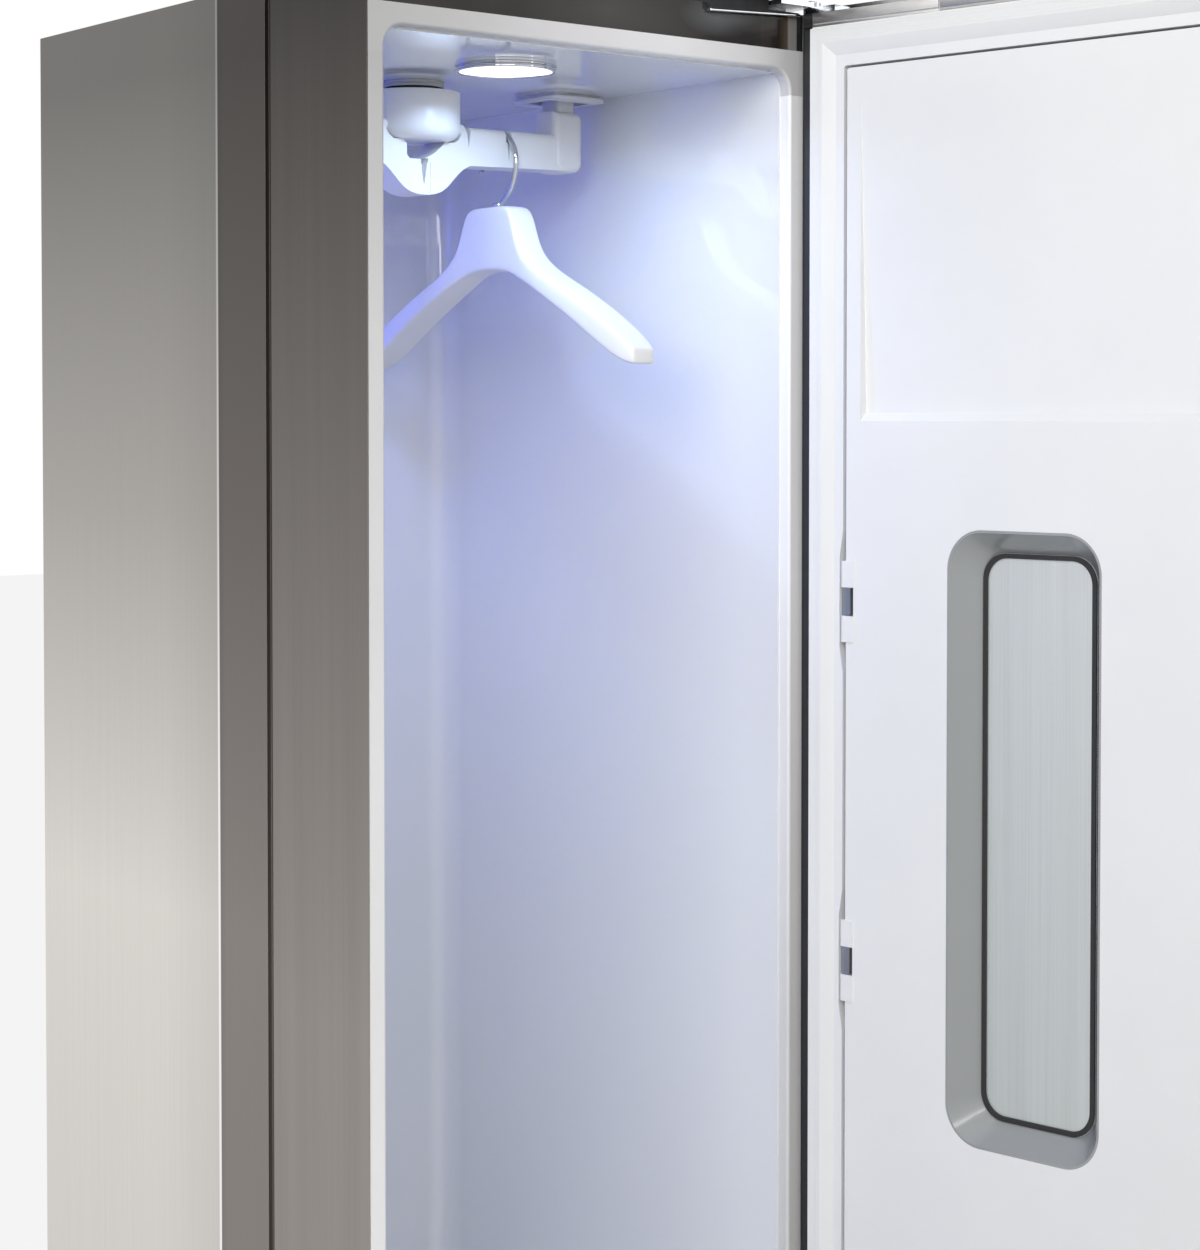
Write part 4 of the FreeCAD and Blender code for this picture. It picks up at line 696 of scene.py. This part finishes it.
def swing_out(piece):
    """Turns a piece that was made on the closed door to the door's resting place."""
    alone(piece)
    piece.matrix_world = (Matrix.Translation(HINGE) @ Matrix.Rotation(DOOR_ANGLE, 4, "Z")
                          @ Matrix.Translation(-HINGE) @ piece.matrix_world)
    bpy.ops.object.transform_apply(location=True, rotation=True, scale=True)


def finished(piece, body, material, stands_for=()):
    """Puts a piece in its place: its finish, its body and the CAD nodes that it stands for."""
    piece.data.materials.clear()
    piece.data.materials.append(materials[material])
    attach(piece, body)
    if stands_for:
        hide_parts(*stands_for)


def soften(node, width):
    """Rounds the edges of a CAD node a little with live modifiers."""
    piece = nodes[node]
    weld = piece.modifiers.new("merge", "WELD")
    weld.merge_threshold = 0.00001
    edges = piece.modifiers.new("edges", "BEVEL")
    edges.width = width
    edges.segments = 2
    edges.limit_method = "ANGLE"
    edges.angle_limit = math.radians(35)
    edges.harden_normals = False


# ---- Pieces ----

def make_hanger():
    """The shaped hanger: a broad neck that spreads into two sloping shoulders."""
    x, y = HANGER_X, BAR_Y
    place, top, low, thick = HANGER_NECK
    hanger = block("shaped_hanger", (x - thick / 2, y, low), (x + thick / 2, y + place, top))
    start_shaping(hanger)
    pick(hanger, faces=lambda c, n: n.y < -FACING)
    bpy.ops.mesh.delete(type="FACE")
    for reach, new_top, new_low, new_thick in HANGER_SECTIONS:
        pick(hanger, faces=lambda c, n: n.y > 0.7 and c.y > y + place - CLOSE)
        middle = (new_top + new_low) / 2
        step = (0, reach - place, middle - (top + low) / 2)
        bpy.ops.mesh.extrude_region_move(TRANSFORM_OT_translate={"value": step})
        bpy.ops.transform.resize(value=(new_thick / thick, 1, (new_top - new_low) / (top - low)),
                                 center_override=(x, y + reach, middle))
        place, top, low, thick = reach, new_top, new_low, new_thick
    stop_shaping()
    move(hanger, (-x, -y, 0))
    modify(hanger, "MIRROR", use_axis=(False, True, False), use_clip=True, merge_threshold=CLOSE)
    move(hanger, (x, y, 0))
    bevel(hanger, 0.0035, segments=2, sharper_than=50)
    modify(hanger, "SUBSURF", levels=2, render_levels=2)
    bpy.ops.object.shade_smooth()
    finished(hanger, "garment_hanger", "white_plastic", ["garment_hanger"])


def make_hook_ferrule():
    """The small ring where the hook goes into the hanger, drawn up round the hook."""
    bpy.ops.object.select_all(action="DESELECT")
    bpy.ops.mesh.primitive_torus_add(major_segments=32, minor_segments=12,
                                     major_radius=FERRULE_RADIUS, minor_radius=FERRULE_WIRE,
                                     location=(HANGER_X, BAR_Y, FERRULE_Z))
    ferrule = blank("hook_ferrule")
    start_shaping(ferrule)
    pick(ferrule, faces=lambda c, n: c.z > FERRULE_Z)
    bpy.ops.transform.translate(value=(0, 0, FERRULE_RISE))
    stop_shaping()
    bpy.ops.object.shade_smooth()
    finished(ferrule, "garment_hanger", "chrome")


def make_ceiling_collar():
    """The round boss on the ceiling over the drive cup, in two steps over a black ring of painted
    shade.
    """
    low = CEILING_Z - COLLAR_DROP
    collar = disc("ceiling_collar", (0, BAR_Y, (CEILING_Z + low) / 2), COLLAR_RADIUS,
                  CEILING_Z - low, COLLAR_SIDES)
    start_shaping(collar)
    groove_round(collar, low, COLLAR_GROOVE, depth=0.0011)
    hollow_below(collar, low, wall=0.0035, depth=0.0035)
    stop_shaping()
    bevel(collar, 0.0003, segments=2, sharper_than=35)
    smooth(30)
    finished(collar, "cabinet", "white_plastic")


def make_collar_shadow_ring():
    """A black ring under the ceiling's collar: painted shade that stands in for the shadow gap
    above the drive cup's rim.
    """
    high = CEILING_Z - COLLAR_DROP
    seal = disc("collar_shadow_ring", (0, BAR_Y, high - COLLAR_SHADOW_THICK / 2), COLLAR_RADIUS - 0.0006,
                COLLAR_SHADOW_THICK, COLLAR_SIDES)
    start_shaping(seal)
    hollow_below(seal, high - COLLAR_SHADOW_THICK, wall=0.0045, depth=0.0018)
    stop_shaping()
    bevel(seal, 0.0003, segments=2, sharper_than=35)
    smooth(30)
    finished(seal, "cabinet", "seal_black")


def make_lamp_ring():
    """The polished ring of the ceiling lamp: a grooved side, and a rounded edge inside and out."""
    def caps(c, n):
        return abs(n.z) > FACING and math.hypot(c.x, c.y - LAMP_Y) < 0.01

    low = CEILING_Z - LAMP_DROP
    lamp = disc("lamp_trim", (0, LAMP_Y, CEILING_Z - LAMP_DROP / 2), LAMP_RADIUS, LAMP_DROP,
                LAMP_SIDES)
    start_shaping(lamp)
    groove_round(lamp, low, LAMP_GROOVE, depth=0.0008)
    pick(lamp, faces=caps)
    bpy.ops.mesh.inset(thickness=LAMP_RIM)
    pick(lamp, faces=caps)
    bpy.ops.mesh.bridge_edge_loops()
    stop_shaping()
    bevel(lamp, 0.0005, segments=3, sharper_than=35)
    smooth(30)
    finished(lamp, "cabinet", "chrome", ["lamp_ring"])


def make_door_seal():
    """The soft seal round the door's border: a low frame, faint folds and a sloping inner side."""
    base, crown = DOOR_FACE_Y, DOOR_FACE_Y + SEAL_CROWN
    tall = SEAL_HIGH - SEAL_LOW
    seal = block("door_seal", (-SEAL_HALF, base, SEAL_LOW), (SEAL_HALF, crown, SEAL_HIGH))
    start_shaping(seal)
    pick(seal, faces=lambda c, n: abs(n.y) > FACING)
    bpy.ops.mesh.inset(thickness=SEAL_WIDTH)
    pick(seal, faces=lambda c, n: abs(n.y) > FACING and abs(c.x) < 0.01 and 0.3 < c.z < 1.5)
    bpy.ops.mesh.bridge_edge_loops()
    pick(seal, edges=lambda c, d: c.y > crown - CLOSE and abs(c.x) < SEAL_HALF - 0.002
         and SEAL_LOW + 0.002 < c.z < SEAL_HIGH - 0.002 and (abs(d.x) > 0.99 or abs(d.z) > 0.99))
    bpy.ops.transform.resize(value=((SEAL_HALF - SEAL_FLAT) / (SEAL_HALF - SEAL_WIDTH), 1,
                                    (tall - 2 * SEAL_FLAT) / (tall - 2 * SEAL_WIDTH)),
                             center_override=(0, crown, (SEAL_LOW + SEAL_HIGH) / 2))
    for width, step in SEAL_FOLDS:
        pick(seal, faces=lambda c, n: n.y > 0.99 and c.y > base + 0.004)
        bpy.ops.mesh.inset(thickness=width, use_boundary=True)
        bpy.ops.transform.translate(value=(0, step, 0))
    stop_shaping()
    bevel(seal, 0.0012, segments=3, sharper_than=20)
    smooth(60)
    swing_out(seal)
    finished(seal, "door", "soft_white", ["door_gasket"])


def make_door_rail(name, low_z, line_z):
    """A steel rail on one end of the door, with a pressed line and a butt joint."""
    rail = block(name, (-HALF_WIDTH, DOOR_FACE_Y - RAIL_DEPTH, low_z),
                 (HALF_WIDTH, DOOR_FACE_Y, low_z + RAIL_HEIGHT))
    start_shaping(rail)
    pick(rail, edges=lambda c, d: abs(d.z) > FACING and c.y < DOOR_FACE_Y - 0.03)
    bpy.ops.mesh.bevel(offset=RAIL_CORNER, segments=5, affect="EDGES")
    for side in (-RAIL_LINE_HALF, RAIL_LINE_HALF):
        cut((0, 0, line_z + side), UP)
        cut((RAIL_JOINT_X + side, 0, 0), ACROSS)
    pick(rail, faces=lambda c, n: n.y > FACING and RAIL_LINE_HALF - CLOSE > min(
        abs(c.z - line_z), abs(c.x - RAIL_JOINT_X)))
    bpy.ops.mesh.extrude_region_move(TRANSFORM_OT_translate={"value": (0, -RAIL_LINE_DEPTH, 0)})
    stop_shaping()
    bevel(rail, 0.0003, segments=2, sharper_than=35)
    smooth(30)
    swing_out(rail)
    finished(rail, "door", "trim_steel", ["door_end_caps"])


def make_cover_lip():
    """The bright lip along the lower front edge of the hinge cover, which rises to the right."""
    lip = block("cover_lip", COVER_LIP_LOW, COVER_LIP_HIGH)
    start_shaping(lip)
    pick(lip, faces=lambda c, n: n.x > FACING)
    bpy.ops.transform.translate(value=(0, 0, COVER_LIP_RISE))
    pick(lip, edges=lambda c, d: abs(d.x) > FACING and c.y < -0.27)
    bpy.ops.mesh.bevel(offset=0.0009, segments=4, affect="EDGES")
    pick(lip, edges=lambda c, d: abs(d.z) > 0.5 and c.x < 0.12)
    bpy.ops.mesh.bevel(offset=0.0007, segments=3, affect="EDGES")
    stop_shaping()
    smooth(40)
    finished(lip, "cabinet", "chrome")


def make_hinge_side_lip():
    """A black lip along the cabinet's front edge, beside the door's hinges, that fills the gap
    there.
    """
    front_y = SIDE_LIP_LOW[1]
    middle_z = (SIDE_LIP_LOW[2] + SIDE_LIP_HIGH[2]) / 2
    lip = block("hinge_side_lip", SIDE_LIP_LOW, SIDE_LIP_HIGH)
    start_shaping(lip)
    pick(lip, faces=lambda c, n: n.y < -FACING)
    step = (-0.0001, -SIDE_LIP_NOSE, 0)
    bpy.ops.mesh.extrude_region_move(TRANSFORM_OT_translate={"value": step})
    bpy.ops.transform.resize(value=(0.5, 1, 0.9995),
                             center_override=(0.2221, front_y - SIDE_LIP_NOSE, middle_z))
    pick(lip, edges=lambda c, d: abs(d.z) > FACING and c.y < front_y - 0.0002)
    bpy.ops.mesh.bevel(offset=0.00015, segments=3, affect="EDGES")
    stop_shaping()
    smooth(50)
    finished(lip, "cabinet", "seal_black")


# ---- Stage ----

def seen_directly(tree):
    """One for a ray that shows a surface: to the eye, in a reflection or through glass."""
    path = tree.nodes.new("ShaderNodeLightPath")
    total = path.outputs["Is Camera Ray"]
    for ray in ("Is Glossy Ray", "Is Transmission Ray"):
        total = calculate(tree, "MAXIMUM", total, path.outputs[ray])
    return total


def blend_shaders(tree, factor, first, second, output):
    """Wires a mix of two shaders to the surface of an output."""
    mix = tree.nodes.new("ShaderNodeMixShader")
    tree.links.new(factor, mix.inputs["Fac"])
    tree.links.new(first, mix.inputs[1])
    tree.links.new(second, mix.inputs[2])
    tree.links.new(mix.outputs["Shader"], tree.nodes[output].inputs["Surface"])


def make_floor():
    """A pale floor that keeps the cabinet's shadow."""
    bpy.ops.mesh.primitive_plane_add(size=FLOOR_SIZE, location=(0, 0, FLOOR_Z))
    floor = bpy.context.object
    floor.name = "floor"
    s = Surface("floor_paint", (0.80, 0.80, 0.80), 0.7)
    s.color(s.ramp(s.noise(3.0), [(PATTERN_LOW, (0.79,) * 3), (PATTERN_HIGH, (0.81,) * 3)]))
    light = s.tree.nodes.new("ShaderNodeEmission")
    share = calculate(s.tree, "MULTIPLY", seen_directly(s.tree), FLOOR_GLOW)
    blend_shaders(s.tree, share, s.shader.outputs["BSDF"], light.outputs["Emission"],
                  "Material Output")
    floor.data.materials.append(s.material)


def make_world():
    """A world that is seen as white and lights the cabinet softly."""
    world = bpy.data.worlds.new("studio")
    bpy.context.scene.world = world
    world.use_nodes = True
    tree = world.node_tree
    seen = tree.nodes["Background"]
    seen.inputs["Color"].default_value = (1, 1, 1, 1)
    seen.inputs["Strength"].default_value = 1.0
    lit = tree.nodes.new("ShaderNodeBackground")
    lit.inputs["Color"].default_value = (*WORLD_COLOR, 1)
    lit.inputs["Strength"].default_value = WORLD_STRENGTH
    blend_shaders(tree, seen_directly(tree), lit.outputs["Background"],
                  seen.outputs["Background"], "World Output")


def area_light(name, place, target, size, power, color=(1, 1, 1)):
    """A soft square light that looks at a point."""
    data = bpy.data.lights.new(name, "AREA")
    data.size = size
    data.energy = power
    data.color = color
    light = bpy.data.objects.new(name, data)
    light.location = place
    aim = Vector(target) - Vector(place)
    light.rotation_euler = aim.to_track_quat("-Z", "Y").to_euler()
    bpy.context.scene.collection.objects.link(light)
    return light


def own_lamp(name, settings, spread):
    """A small round lamp of the cabinet itself, which shines within an angle."""
    lamp = area_light(name, *settings)
    lamp.data.shape = "DISK"
    lamp.data.spread = spread


def make_lights():
    """A key light in front on the left, one beside it, a fill, and the cabinet's own lamps."""
    area_light("key", *KEY)
    area_light("side_key", *SIDE_KEY)
    area_light("fill", *FILL)
    own_lamp("cabinet_lamp", CABINET_LAMP, CABINET_LAMP_SPREAD)
    own_lamp("freshening_light", FRESHENING_LIGHT, FRESHENING_SPREAD)


# ---- Making ----

make_camera()
bpy.context.scene.view_settings.view_transform = "Standard"
materials = make_materials()
for part in frame["record"]["subparts"]:
    dress(part["node"], OWN_FINISH.get(part["node"], part["material_slot"]))
make_hanger()
make_hook_ferrule()
make_ceiling_collar()
make_collar_shadow_ring()
make_lamp_ring()
make_door_seal()
make_door_rail("door_top_rail", 1.814, 1.8165)
make_door_rail("door_bottom_rail", 0.035, 0.0445)
make_cover_lip()
make_hinge_side_lip()
for node, width in SOFT_EDGES:
    soften(node, width)
make_floor()
make_world()
make_lights()
